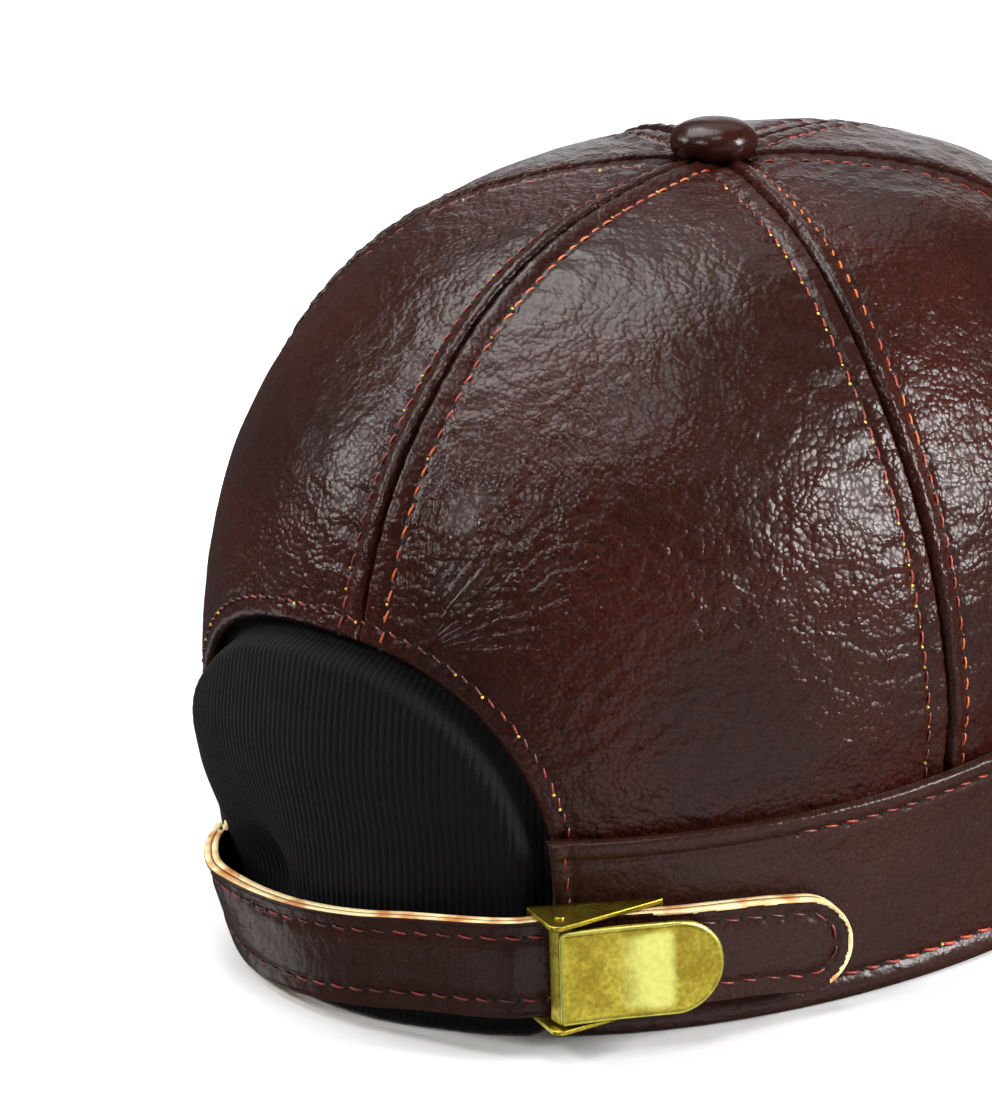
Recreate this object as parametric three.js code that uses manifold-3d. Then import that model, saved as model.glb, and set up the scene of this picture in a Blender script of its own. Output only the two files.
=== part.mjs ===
// A leather baseball cap with a knitted flap in its back opening and a brass clamp buckle on its strap.
// Millimetres, +Z up. The brim points along -Y, the strap is at +Y, and the wearer's right is at -X.
// The cap rests on its rim and on the two low sides of its curved brim.
// Angles round the crown are measured in degrees from the middle of the back, positive towards +X.
import * as THREE from "three";
import { mergeVertices } from "three/addons/utils/BufferGeometryUtils.js";
import Module from "manifold-3d";

const wasm = await Module();
wasm.setup();

// Crown
const HALF_LENGTH = 110; // of the rim, middle to back
const HALF_WIDTH = 86;
const CORNER_PINCH = 0.018; // how much the rim falls short of an ellipse at its four corners
const CROWN_HEIGHT = 129;
const APEX_LEAN = -10; // the button sits this far in front of the rim's middle
const PANEL_THICKNESS = 2;
const SEAM_GAP = 0.34;
const BUTTON_HOLE = 3.2; // radius left open under the button
const BUTTON_DIMPLE = 1.2; // how far the button pulls the leather down
const DIMPLE_RADIUS = 15;

// The crown's outline: at each height, how far it reaches as a share of the rim's size,
// at the back, the sides and the front.
const CROWN_PROFILE = [
  { height: 0, back: 0.995, side: 0.983, front: 1.029 },
  { height: 20, back: 1.014, side: 0.976, front: 1.02 },
  { height: 38, back: 1.015, side: 0.973, front: 1.001 },
  { height: 60, back: 1.005, side: 0.97, front: 0.982 },
  { height: 80, back: 0.961, side: 0.935, front: 0.934 },
  { height: 95, back: 0.894, side: 0.859, front: 0.855 },
  { height: 107, back: 0.793, side: 0.766, front: 0.765 },
  { height: 116, back: 0.688, side: 0.656, front: 0.663 },
  { height: 122, back: 0.57, side: 0.544, front: 0.535 },
  { height: 126, back: 0.435, side: 0.384, front: 0.399 },
  { height: 128.4, back: 0.25, side: 0.191, front: 0.207 },
  { height: CROWN_HEIGHT, back: 0, side: 0, front: 0 },
];

// The tightened strap draws the rim in, on the wearer's left of the opening.
const STRAP_PULL = { angle: 30, spread: 16, depth: 3.5, fullBelow: 10, noneAbove: 44 };

// Seams between the six panels
const SIDE_SEAM_ANGLE = 64.5; // of the rear side seam at the rim
const SIDE_SEAM_TURN = 13; // how far it turns to the back on its way up
const SIDE_SEAM_BEND = 2.2;

// Rim: it lifts at the front, where the brim arches
const FRONT_LIFT = 26;
const LIFT_POWER = 2.4;
const PANEL_FOOT = 1; // the panels end this far above the band's lower edge

// Band round the foot of the crown
const BAND_THICKNESS = 1.8;
const BAND_HEIGHT = 37;
const BAND_SIDE_RISE = 1.5;
const BAND_SIDE_FROM = 50; // the angles between which its upper edge rises
const BAND_SIDE_TO = 85;
const BAND_FRONT_RISE = 18;
const BAND_FLARE = 0.8; // its upper edge stands away from the crown
const FLARE_HEIGHT = 12;
const BAND_CLEARANCE = 0.4;
const BAND_FIRST_ANGLE = 12; // the opening's edge cuts it off further on
const PANEL_TUCK_BELOW = 3; // the panels are tucked in fully up to here, below the band's upper edge
const PANEL_TUCK_HEIGHT = 13; // over this height above the band, the panels swell out again

// Back opening
const ARCH_MIDDLE = 9.5;
const ARCH_HALF_WIDTH = 44.5;
const ARCH_SPRING = 25; // height at which its straight sides turn into the round top
const ARCH_RISE = 44;
const ARCH_SQUARENESS = 2.3; // 2 would be an ellipse

// Knitted flap behind the opening
const KNIT_THICKNESS = 2.2;
const KNIT_CLEARANCE = 1.1;
const KNIT_FOOT = 0.6;
const KNIT_TOP = 79;
const KNIT_FROM = -27;
const KNIT_TO = 45;
const KNIT_BULGE = 4.9;
const KNIT_LOW_BULGE = 3.7; // behind the strap
const KNIT_FOOT_BULGE = 5.1; // below the strap
const KNIT_HEIGHTS = { foot: 2, low: 8, strap: 26, full: 42 }; // where it turns from one bulge to the next
const KNIT_MARGIN = { from: 0.09, to: 0.36 }; // how it comes forward inside the opening's edge
const KNIT_PUFF = { x: 45, height: 43, width: 11, tall: 14, out: 3.6 }; // where it swells over the leather
// where it folds in behind the strap
const KNIT_HOLLOW = { x: 33, height: 19, width: 10, tall: 12, deep: 7 };

// Brim
const BRIM_END_ANGLE = 70; // from the front, at each side
const BRIM_LENGTH = 70;
const BRIM_END_WIDTH = 4;
const BRIM_THICKNESS = 3.8;
const BRIM_SPREAD = 0.55;
const BRIM_TIP_HEIGHT = 21;
const BRIM_SIDE_TOP = 3.9;
const BRIM_CROWNING = 1.2;
const BRIM_SHELF = 6; // the crowning starts this far out from the band
const BRIM_OUTLINE_POWER = 0.6; // rounder than a half sine
const BRIM_LOW_SHARE = 0.85; // from here to its ends, its edge lies low on the table
const BRIM_ARCH_POWER = 1.2;
const BRIM_CLEARANCE = 0.35;

// Button
const BUTTON_RADIUS = 8.2;
const BUTTON_HEIGHT = 6.4;
const BUTTON_SEAT = 0.45; // its underside stands this far above the crown's top
const SHANK_RADIUS = 2.7;
const SHANK_DEPTH = 4;

// Strap: two layers of leather
const STRAP_WIDTH = 17.6;
const STRAP_LAYER = 1.2;
const LAYER_GAP = 0.3;

// The strap's route, from its sewn end on the wearer's left to the buckle: how far the inner face
// of its backing stands off the crown, how far its upper edge flares out, and the height of its middle.
const STRAP_TO_BUCKLE = [
  { angle: 33.6, standOff: -1.5, flare: 0, height: 10.7 },
  { angle: 31, standOff: -0.9, flare: 0, height: 10.6 },
  { angle: 27.5, standOff: 0.1, flare: 0.6, height: 10.4 },
  { angle: 23.5, standOff: 1, flare: 2.4, height: 10.2 },
  { angle: 19.5, standOff: 1.7, flare: 3.2, height: 10.2 },
  { angle: 15, standOff: 1.5, flare: 1.8, height: 10.5 },
  { angle: 10, standOff: 1.2, flare: 0.4, height: 10.9 },
  { angle: 5, standOff: 1.2, flare: 0, height: 11.8 },
  { angle: -1, standOff: 1.4, flare: 0, height: 13.2 },
  { angle: -6, standOff: 1.6, flare: 0, height: 14.5 },
];
// and on from the buckle to its loose tip
const STRAP_FROM_BUCKLE = [
  { angle: -38.5, standOff: 2.2, flare: 0, height: 15.4 },
  { angle: -43, standOff: 2.3, flare: 0, height: 14.4 },
  { angle: -47.8, standOff: 3, flare: 0, height: 13.6 },
];

// Buckle, measured in its own frame: along the strap towards its tip, out from the crown, and up
const BUCKLE_ANGLE = -19.6; // where the lever's hinged edge lies
const BUCKLE_MIDDLE = -25.5; // the buckle lies flat against the crown here
const BUCKLE_HEIGHT = 16.2; // of its middle, above the rim
const TAB = { from: -3.5, to: 12, thickness: 0.7, width: 12, out: 0.3 };
const FRAME = { from: -5.7, to: 17.7, thickness: 0.8, out: 1.3, earThickness: 1, earGap: 18.2 };
const EAR_TIP = { along: -1.4, out: 11.2, radius: 1.8 };
const STRAP_IN_BUCKLE = 2.4; // the backing's inner face stands this far out inside the buckle
const STRAP_STATIONS = [-9, -2, 6, 14, 20]; // the strap's route passes these places along the buckle
const PIN = { along: -0.8, out: 7.3, radius: 0.9, proud: 0.4, clearance: 0.28 };
const LEVER = { hub: 1.9, bore: 1.2, plate: 1.1, width: 17.2 };
const LEVER_START = { along: -1.4, out: 10.7 };
const LEVER_BEND = { along: 20, out: 9 };
const LEVER_TIP = { along: 27.4, out: 7.1 };
const LEVER_NECK = 0.4; // the hub's edges run on this far towards the plate
const ROUND_SIDES = 16;

// Colours and finishes
const LEATHER = { color: 0x40211e, roughness: 0.42, metalness: 0 };
const DARK_LEATHER = { color: 0x37201f, roughness: 0.45, metalness: 0 };
const KNIT = { color: 0x17151a, roughness: 0.9, metalness: 0 };
const BRASS = { color: 0xa99b35, roughness: 0.35, metalness: 1 };

// Steps over which the crown's slopes are measured
const PLACE_STEP = 0.02; // rows of CROWN_PROFILE
const ANGLE_STEP = 0.5;

const radians = THREE.MathUtils.degToRad;
const mix = THREE.MathUtils.lerp;
const smooth = (value, from, to) => THREE.MathUtils.smoothstep(value, from, to);

// A smooth value between the rows of a table, at a place counted in rows.
function between(rows, column, place) {
  const last = rows.length - 1;
  const row = Math.min(Math.max(Math.floor(place), 0), last - 1);
  const t = place - row;
  const at = (i) => rows[Math.min(Math.max(i, 0), last)][column];
  const before = row > 0 ? at(row - 1) : 2 * at(0) - at(1);
  const after = row + 2 <= last ? at(row + 2) : 2 * at(last) - at(last - 1);
  const slopeHere = (at(row + 1) - before) / 2;
  const slopeNext = (after - at(row)) / 2;
  const rise = at(row + 1) - at(row);
  return at(row) + t * slopeHere + t * t * (3 * rise - 2 * slopeHere - slopeNext)
    + t * t * t * (slopeHere + slopeNext - 2 * rise);
}

// The place in CROWN_PROFILE that has this height.
function placeAtHeight(height) {
  let low = 0;
  let high = CROWN_PROFILE.length - 1;
  const halvings = 40;
  for (let i = 0; i < halvings; i++) {
    const middle = (low + high) / 2;
    if (between(CROWN_PROFILE, "height", middle) < height) low = middle;
    else high = middle;
  }
  return (low + high) / 2;
}

// A point on the crown's outer face.
function crownPoint(angle, place) {
  const a = radians(angle);
  const toBack = Math.max(Math.cos(a), 0) ** 2;
  const toFront = Math.max(-Math.cos(a), 0) ** 2;
  const toSide = Math.sin(a) ** 2;
  const reach = between(CROWN_PROFILE, "back", place) * toBack
    + between(CROWN_PROFILE, "side", place) * toSide
    + between(CROWN_PROFILE, "front", place) * toFront;
  const rim = (1 - CORNER_PINCH * Math.sin(2 * a) ** 2)
    / Math.hypot(Math.cos(a) / HALF_LENGTH, Math.sin(a) / HALF_WIDTH);
  const height = between(CROWN_PROFILE, "height", place);
  const pull = STRAP_PULL.depth * Math.exp(-(((angle - STRAP_PULL.angle) / STRAP_PULL.spread) ** 2))
    * (1 - smooth(height, STRAP_PULL.fullBelow, STRAP_PULL.noneAbove));
  const radius = Math.max(rim * reach - pull, 0);
  const dimple = BUTTON_DIMPLE * (1 - smooth(radius, 0, DIMPLE_RADIUS));
  const lean = APEX_LEAN * (height / CROWN_HEIGHT) ** 2;
  return new THREE.Vector3(radius * Math.sin(a), radius * Math.cos(a) + lean, height - dimple);
}

// The way round the crown at a point, towards greater angles.
function wayRound(angle, place) {
  return crownPoint(angle + ANGLE_STEP, place).sub(crownPoint(angle - ANGLE_STEP, place));
}

// The crown's outward direction at a point.
function crownNormal(angle, place) {
  const top = CROWN_PROFILE.length - 1;
  const low = Math.max(place - PLACE_STEP, 0);
  const high = Math.min(place + PLACE_STEP, top);
  const up = crownPoint(angle, high).sub(crownPoint(angle, low));
  return up.cross(wayRound(angle, place)).normalize();
}

// How far from the leaning axis the crown is, at an angle and a place.
function crownRadius(angle, place) {
  const point = crownPoint(angle, place);
  const lean = APEX_LEAN * (between(CROWN_PROFILE, "height", place) / CROWN_HEIGHT) ** 2;
  return Math.hypot(point.x, point.y - lean);
}

// A point on or off the crown's outer face, moved straight out from it.
function crownOffset(angle, place, out) {
  return crownPoint(angle, place).addScaledVector(crownNormal(angle, place), out);
}

// The level outward direction at an angle and height.
function levelNormal(angle, height) {
  const place = placeAtHeight(height);
  const round = wayRound(angle, place);
  return new THREE.Vector3(-round.y, round.x, 0).normalize();
}

// How far the rim lifts off the table.
function rimLift(angle) {
  const a = radians(angle);
  return Math.cos(a) < 0 ? FRONT_LIFT * (1 - Math.abs(Math.sin(a)) ** LIFT_POWER) : 0;
}

function bandTop(angle) {
  const a = radians(angle);
  const front = Math.cos(a) < 0 ? BAND_FRONT_RISE * (1 - Math.abs(Math.sin(a)) ** LIFT_POWER) : 0;
  return BAND_HEIGHT + BAND_SIDE_RISE * smooth(Math.abs(angle), BAND_SIDE_FROM, BAND_SIDE_TO) + front;
}

// How far the panels are tucked in, to pass behind the band.
function panelTuck(angle, height) {
  const top = bandTop(angle);
  const tucked = 1 - smooth(height, top - PANEL_TUCK_BELOW, top + PANEL_TUCK_HEIGHT);
  return (BAND_THICKNESS + BAND_CLEARANCE) * tucked;
}

// The seams' angles at a height: back middle, rear side, front side, front middle.
function seamAngle(seam, height) {
  const turn = SIDE_SEAM_TURN * (Math.max(height, 0) / CROWN_HEIGHT) ** SIDE_SEAM_BEND;
  return [0, SIDE_SEAM_ANGLE - turn, 180 - SIDE_SEAM_ANGLE + turn, 180][seam];
}

// Geometry helpers

// A closed solid between two grids of points with the same rows and columns.
function sheetSolid(outer, inner) {
  const rows = outer.length;
  const columns = outer[0].length;
  const positions = [];
  const triangle = (a, b, c) => positions.push(...a.toArray(), ...b.toArray(), ...c.toArray());
  const quad = (a, b, c, d) => {
    triangle(a, b, c);
    triangle(a, c, d);
  };
  for (let i = 0; i < rows - 1; i++) {
    for (let j = 0; j < columns - 1; j++) {
      quad(outer[i][j], outer[i][j + 1], outer[i + 1][j + 1], outer[i + 1][j]);
      quad(inner[i][j], inner[i + 1][j], inner[i + 1][j + 1], inner[i][j + 1]);
    }
    quad(inner[i][0], outer[i][0], outer[i + 1][0], inner[i + 1][0]);
    quad(outer[i][columns - 1], inner[i][columns - 1], inner[i + 1][columns - 1], outer[i + 1][columns - 1]);
  }
  for (let j = 0; j < columns - 1; j++) {
    quad(inner[0][j], inner[0][j + 1], outer[0][j + 1], outer[0][j]);
    quad(outer[rows - 1][j], outer[rows - 1][j + 1], inner[rows - 1][j + 1], inner[rows - 1][j]);
  }
  return facingOut(new THREE.BufferGeometry().setAttribute(
    "position", new THREE.Float32BufferAttribute(positions, 3)));
}

// The same closed surface with its faces turned outwards.
function facingOut(geometry) {
  const p = geometry.getAttribute("position");
  const [a, b, c] = [new THREE.Vector3(), new THREE.Vector3(), new THREE.Vector3()];
  let volume = 0;
  for (let i = 0; i < p.count; i += 3) {
    a.fromBufferAttribute(p, i);
    b.fromBufferAttribute(p, i + 1);
    c.fromBufferAttribute(p, i + 2);
    volume += a.dot(b.cross(c));
  }
  if (volume > 0) return geometry;
  for (let i = 0; i < p.count; i += 3) {
    b.fromBufferAttribute(p, i + 1);
    c.fromBufferAttribute(p, i + 2);
    p.setXYZ(i + 1, c.x, c.y, c.z);
    p.setXYZ(i + 2, b.x, b.y, b.z);
  }
  return geometry;
}

function toManifold(geometry) {
  const bare = new THREE.BufferGeometry().setAttribute("position", geometry.getAttribute("position"));
  if (geometry.index) bare.setIndex(geometry.index);
  const merged = mergeVertices(bare, 1e-3);
  return new wasm.Manifold(new wasm.Mesh({
    numProp: 3,
    vertProperties: merged.attributes.position.array,
    triVerts: new Uint32Array(merged.index.array),
  }));
}

function fromManifold(solid) {
  const mesh = solid.getMesh();
  const positions = new Float32Array(mesh.numVert * 3);
  for (let i = 0; i < mesh.numVert; i++) {
    positions.set(mesh.vertProperties.subarray(i * mesh.numProp, i * mesh.numProp + 3), i * 3);
  }
  return new THREE.BufferGeometry()
    .setAttribute("position", new THREE.BufferAttribute(positions, 3))
    .setIndex(new THREE.BufferAttribute(mesh.triVerts, 1));
}

function cut(geometry, ...tools) {
  const solid = tools.reduce((left, tool) => left.subtract(toManifold(tool)), toManifold(geometry));
  return fromManifold(solid);
}

function join(...pieces) {
  return fromManifold(pieces.map(toManifold).reduce((whole, piece) => whole.add(piece)));
}

function common(one, other) {
  return fromManifold(toManifold(one).intersect(toManifold(other)));
}

function piece(name, geometry, finish) {
  const faceted = geometry.index ? geometry.toNonIndexed() : geometry;
  faceted.computeVertexNormals();
  const mesh = new THREE.Mesh(faceted, new THREE.MeshStandardMaterial(finish));
  mesh.name = name;
  return mesh;
}

// The back opening as a solid that cuts through the back of the crown.
function openingCutter() {
  const shape = new THREE.Shape();
  const floor = -5;
  const near = HALF_LENGTH - 60;
  const far = HALF_LENGTH + 20;
  shape.moveTo(ARCH_MIDDLE - ARCH_HALF_WIDTH, floor);
  shape.lineTo(ARCH_MIDDLE + ARCH_HALF_WIDTH, floor);
  shape.lineTo(ARCH_MIDDLE + ARCH_HALF_WIDTH, ARCH_SPRING);
  const steps = 22;
  for (let i = 1; i < steps; i++) {
    const turn = Math.PI * i / steps;
    const across = Math.sign(Math.cos(turn)) * Math.abs(Math.cos(turn)) ** (2 / ARCH_SQUARENESS);
    const up = Math.sin(turn) ** (2 / ARCH_SQUARENESS);
    shape.lineTo(ARCH_MIDDLE + ARCH_HALF_WIDTH * across, ARCH_SPRING + ARCH_RISE * up);
  }
  shape.lineTo(ARCH_MIDDLE - ARCH_HALF_WIDTH, ARCH_SPRING);
  const cutter = new THREE.ExtrudeGeometry(shape, { depth: far - near, bevelEnabled: false });
  return cutter.rotateX(Math.PI / 2).translate(0, far, 0);
}

// Crown panels

function panel(side, fromSeam, toSeam) {
  const rows = 15;
  const narrow = fromSeam === 1;
  const columns = narrow ? 9 : 10;
  const passes = 4; // an angle and a place that follow each other settle within these
  const top = CROWN_PROFILE.length - 1;
  const outer = [];
  const inner = [];
  for (let i = 0; i <= rows; i++) {
    outer.push([]);
    inner.push([]);
    for (let j = 0; j <= columns; j++) {
      let place = 0;
      let angle = 0;
      for (let pass = 0; pass < passes; pass++) {
        const height = between(CROWN_PROFILE, "height", place);
        const radius = Math.max(crownRadius(angle, place), BUTTON_HOLE);
        const gap = THREE.MathUtils.radToDeg(SEAM_GAP / 2 / radius);
        angle = mix(seamAngle(fromSeam, height) + gap, seamAngle(toSeam, height) - gap, j / columns);
        const foot = placeAtHeight(rimLift(angle) + PANEL_FOOT);
        place = mix(foot, top, i / rows);
      }
      const towardsHole = i === rows;
      const height = between(CROWN_PROFILE, "height", place);
      const out = -panelTuck(angle, height);
      const tip = towardsHole ? holePoint(side * angle) : null;
      outer[i].push(tip ?? crownOffset(side * angle, place, out));
      inner[i].push(tip
        ? tip.clone().setZ(tip.z - PANEL_THICKNESS)
        : crownOffset(side * angle, place, out - PANEL_THICKNESS));
    }
  }
  return sheetSolid(outer, inner);
}

// A point on the edge of the small hole under the button.
function holePoint(angle) {
  const a = radians(angle);
  return new THREE.Vector3(
    BUTTON_HOLE * Math.sin(a), BUTTON_HOLE * Math.cos(a) + APEX_LEAN, CROWN_HEIGHT - BUTTON_DIMPLE);
}

function crownPanels() {
  const pieces = [];
  const opening = openingCutter();
  for (const [sideName, side] of [["right", -1], ["left", 1]]) {
    pieces.push(piece("panel_back_" + sideName, cut(panel(side, 0, 1), opening), LEATHER));
    pieces.push(piece("panel_side_" + sideName, panel(side, 1, 2), LEATHER));
    pieces.push(piece("panel_front_" + sideName, panel(side, 2, 3), LEATHER));
  }
  return pieces;
}

// Band

function band(side) {
  const steps = 44;
  const layers = 3;
  const outer = [];
  const inner = [];
  const lastAngle = 180 - THREE.MathUtils.radToDeg(SEAM_GAP / 2 / HALF_LENGTH);
  for (let i = 0; i <= layers; i++) {
    outer.push([]);
    inner.push([]);
    for (let j = 0; j <= steps; j++) {
      const angle = mix(BAND_FIRST_ANGLE, lastAngle, j / steps);
      const height = mix(rimLift(angle), bandTop(angle), i / layers);
      const out = BAND_FLARE * smooth(height, bandTop(angle) - FLARE_HEIGHT, bandTop(angle));
      const place = placeAtHeight(height);
      const point = crownPoint(side * angle, place);
      const normal = levelNormal(side * angle, height);
      outer[i].push(point.clone().addScaledVector(normal, out));
      inner[i].push(point.clone().addScaledVector(normal, out - BAND_THICKNESS));
    }
  }
  return cut(sheetSolid(outer, inner), openingCutter());
}

// Knitted flap

// A round hump of height 1 at a place across the opening and above the rim.
function mound(x, height, at) {
  return Math.exp(-(((x - at.x) / at.width) ** 2) - ((height - at.height) / at.tall) ** 2);
}

// How far the knit's outer face stands off the crown's.
function knitOut(x, angle, height) {
  const across = (x - ARCH_MIDDLE) / ARCH_HALF_WIDTH;
  const up = Math.max(height - ARCH_SPRING, 0) / ARCH_RISE;
  const inside = smooth(1 - Math.abs(across) ** ARCH_SQUARENESS - up ** ARCH_SQUARENESS,
    KNIT_MARGIN.from, KNIT_MARGIN.to);
  const aboveStrap = mix(KNIT_LOW_BULGE, KNIT_BULGE, smooth(height, KNIT_HEIGHTS.strap, KNIT_HEIGHTS.full));
  const bulge = mix(KNIT_FOOT_BULGE, aboveStrap, smooth(height, KNIT_HEIGHTS.foot, KNIT_HEIGHTS.low));
  const puff = KNIT_PUFF.out * mound(x, height, KNIT_PUFF);
  const hollow = KNIT_HOLLOW.deep * mound(x, height, KNIT_HOLLOW);
  const behindLeather = -(panelTuck(angle, height) + PANEL_THICKNESS + KNIT_CLEARANCE);
  return behindLeather + inside * (bulge + puff) - hollow;
}

function knitFlap() {
  const rows = 15;
  const columns = 22;
  const outer = [];
  const inner = [];
  for (let i = 0; i <= rows; i++) {
    outer.push([]);
    inner.push([]);
    const height = mix(KNIT_FOOT, KNIT_TOP, i / rows);
    const place = placeAtHeight(height);
    for (let j = 0; j <= columns; j++) {
      const angle = mix(KNIT_FROM, KNIT_TO, j / columns);
      const out = knitOut(crownPoint(angle, place).x, angle, height);
      outer[i].push(crownOffset(angle, place, out));
      inner[i].push(crownOffset(angle, place, out - KNIT_THICKNESS));
    }
  }
  return sheetSolid(outer, inner);
}

// Brim

function brim() {
  const steps = 32;
  const across = 5;
  const top = [];
  const bottom = [];
  for (let i = 0; i <= across; i++) {
    top.push([]);
    bottom.push([]);
    const t = i / across;
    for (let j = 0; j <= steps; j++) {
      const share = mix(-1, 1, j / steps);
      const fromFront = BRIM_END_ANGLE * share;
      const angle = 180 - fromFront;
      const rim = rimLift(angle);
      const inset = BAND_THICKNESS + BAND_CLEARANCE + PANEL_THICKNESS;
      const start = crownPoint(angle, placeAtHeight(rim)).addScaledVector(levelNormal(angle, rim), -inset);
      const width = inset + BRIM_END_WIDTH
        + (BRIM_LENGTH - BRIM_END_WIDTH) * Math.cos(share * Math.PI / 2) ** BRIM_OUTLINE_POWER;
      const lean = BRIM_SPREAD * Math.sin(radians(fromFront));
      const direction = new THREE.Vector3(lean, -1, 0).normalize();
      const arch = Math.cos(Math.min(Math.abs(share) / BRIM_LOW_SHARE, 1) * Math.PI / 2) ** BRIM_ARCH_POWER;
      const edgeTop = mix(BRIM_SIDE_TOP, BRIM_TIP_HEIGHT, arch);
      const shelf = smooth(t * width, inset, inset + BRIM_SHELF);
      const fall = Math.max(t * width - inset, 0) / (width - inset);
      const crowning = BRIM_CROWNING * Math.sin(Math.PI * fall) * shelf;
      const height = mix(rim - BRIM_CLEARANCE, edgeTop, fall) + crowning;
      const thickness = Math.min(BRIM_THICKNESS, height);
      const point = start.addScaledVector(direction, t * width);
      top[i].push(point.clone().setZ(height));
      bottom[i].push(point.clone().setZ(height - thickness));
    }
  }
  return sheetSolid(top, bottom);
}

// Button: a leather-covered dome on a short shank

function button() {
  const profile = new THREE.Shape();
  const seat = CROWN_HEIGHT + BUTTON_SEAT;
  const widest = seat + BUTTON_HEIGHT / 3;
  const flat = BUTTON_RADIUS * 0.7;
  const shoulder = seat + BUTTON_HEIGHT * 0.8;
  profile.moveTo(0, seat - SHANK_DEPTH);
  profile.lineTo(SHANK_RADIUS, seat - SHANK_DEPTH);
  profile.lineTo(SHANK_RADIUS, seat);
  profile.lineTo(flat, seat);
  profile.quadraticCurveTo(BUTTON_RADIUS, seat, BUTTON_RADIUS, widest);
  profile.bezierCurveTo(BUTTON_RADIUS, shoulder, flat, seat + BUTTON_HEIGHT, 0, seat + BUTTON_HEIGHT);
  const dome = new THREE.LatheGeometry(profile.getPoints(5), 18);
  return dome.rotateX(Math.PI / 2).translate(0, APEX_LEAN, 0);
}

// Buckle frame of reference: the point on the crown, the way along the strap, and the way out

function buckleFrame() {
  const place = placeAtHeight(BUCKLE_HEIGHT);
  const out = levelNormal(BUCKLE_MIDDLE, BUCKLE_HEIGHT);
  const along = new THREE.Vector3(-out.y, out.x, 0);
  const seat = crownPoint(BUCKLE_MIDDLE, place);
  const hinge = crownPoint(BUCKLE_ANGLE, place);
  const start = seat.clone().addScaledVector(along, hinge.clone().sub(seat).dot(along)).setZ(BUCKLE_HEIGHT);
  return { start, along, out };
}

const BUCKLE = buckleFrame();

// A point given along the strap, out from the crown and up from the buckle's middle.
function atBuckle(along, out, up) {
  return BUCKLE.start.clone()
    .addScaledVector(BUCKLE.along, along)
    .addScaledVector(BUCKLE.out, out)
    .setZ(BUCKLE.start.z + up);
}

// Moves a geometry that is drawn along x, out y and up z into the buckle's frame.
function placeAtBuckle(geometry) {
  const matrix = new THREE.Matrix4().makeBasis(BUCKLE.along, BUCKLE.out, new THREE.Vector3(0, 0, 1));
  if (matrix.determinant() < 0) {
    const loose = geometry.index ? geometry.toNonIndexed() : geometry;
    return facingOut(loose.applyMatrix4(matrix)).translate(...BUCKLE.start.toArray());
  }
  return geometry.applyMatrix4(matrix).translate(...BUCKLE.start.toArray());
}

// An outline drawn along x and out y, made into a plate between two heights.
function plate(shape, low, high) {
  return new THREE.ExtrudeGeometry(shape, { depth: high - low, bevelEnabled: false, curveSegments: 8 })
    .translate(0, 0, low);
}

function block(from, to, outFrom, outTo, low, high) {
  return new THREE.BoxGeometry(to - from, outTo - outFrom, high - low)
    .translate((from + to) / 2, (outFrom + outTo) / 2, (low + high) / 2);
}

function ear(low, high) {
  const shape = new THREE.Shape();
  const slant = EAR_TIP.radius * 0.4;
  shape.moveTo(FRAME.from, FRAME.out);
  shape.lineTo(FRAME.to, FRAME.out);
  shape.lineTo(FRAME.to, FRAME.out + FRAME.thickness);
  shape.lineTo(EAR_TIP.along + EAR_TIP.radius, EAR_TIP.out - slant);
  shape.quadraticCurveTo(EAR_TIP.along, EAR_TIP.out + slant,
    EAR_TIP.along - EAR_TIP.radius, EAR_TIP.out - EAR_TIP.radius);
  shape.lineTo(FRAME.from, FRAME.out + FRAME.thickness);
  shape.closePath();
  return plate(shape, low, high);
}

function buckleFramePiece() {
  const half = FRAME.earGap / 2;
  const full = half + FRAME.earThickness;
  const back = block(FRAME.from, FRAME.to, FRAME.out, FRAME.out + FRAME.thickness, -full, full);
  const whole = join(back, ear(half, full), ear(-full, -half));
  const holeRadius = PIN.radius + PIN.clearance;
  const pinHole = new THREE.CylinderGeometry(holeRadius, holeRadius, 4 * full, ROUND_SIDES)
    .rotateX(Math.PI / 2).translate(PIN.along, PIN.out, 0);
  return placeAtBuckle(cut(whole, pinHole));
}

function bucklePin() {
  const length = FRAME.earGap + 2 * (FRAME.earThickness + PIN.proud);
  return placeAtBuckle(new THREE.CylinderGeometry(PIN.radius, PIN.radius, length, ROUND_SIDES)
    .rotateX(Math.PI / 2).translate(PIN.along, PIN.out, 0));
}

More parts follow.
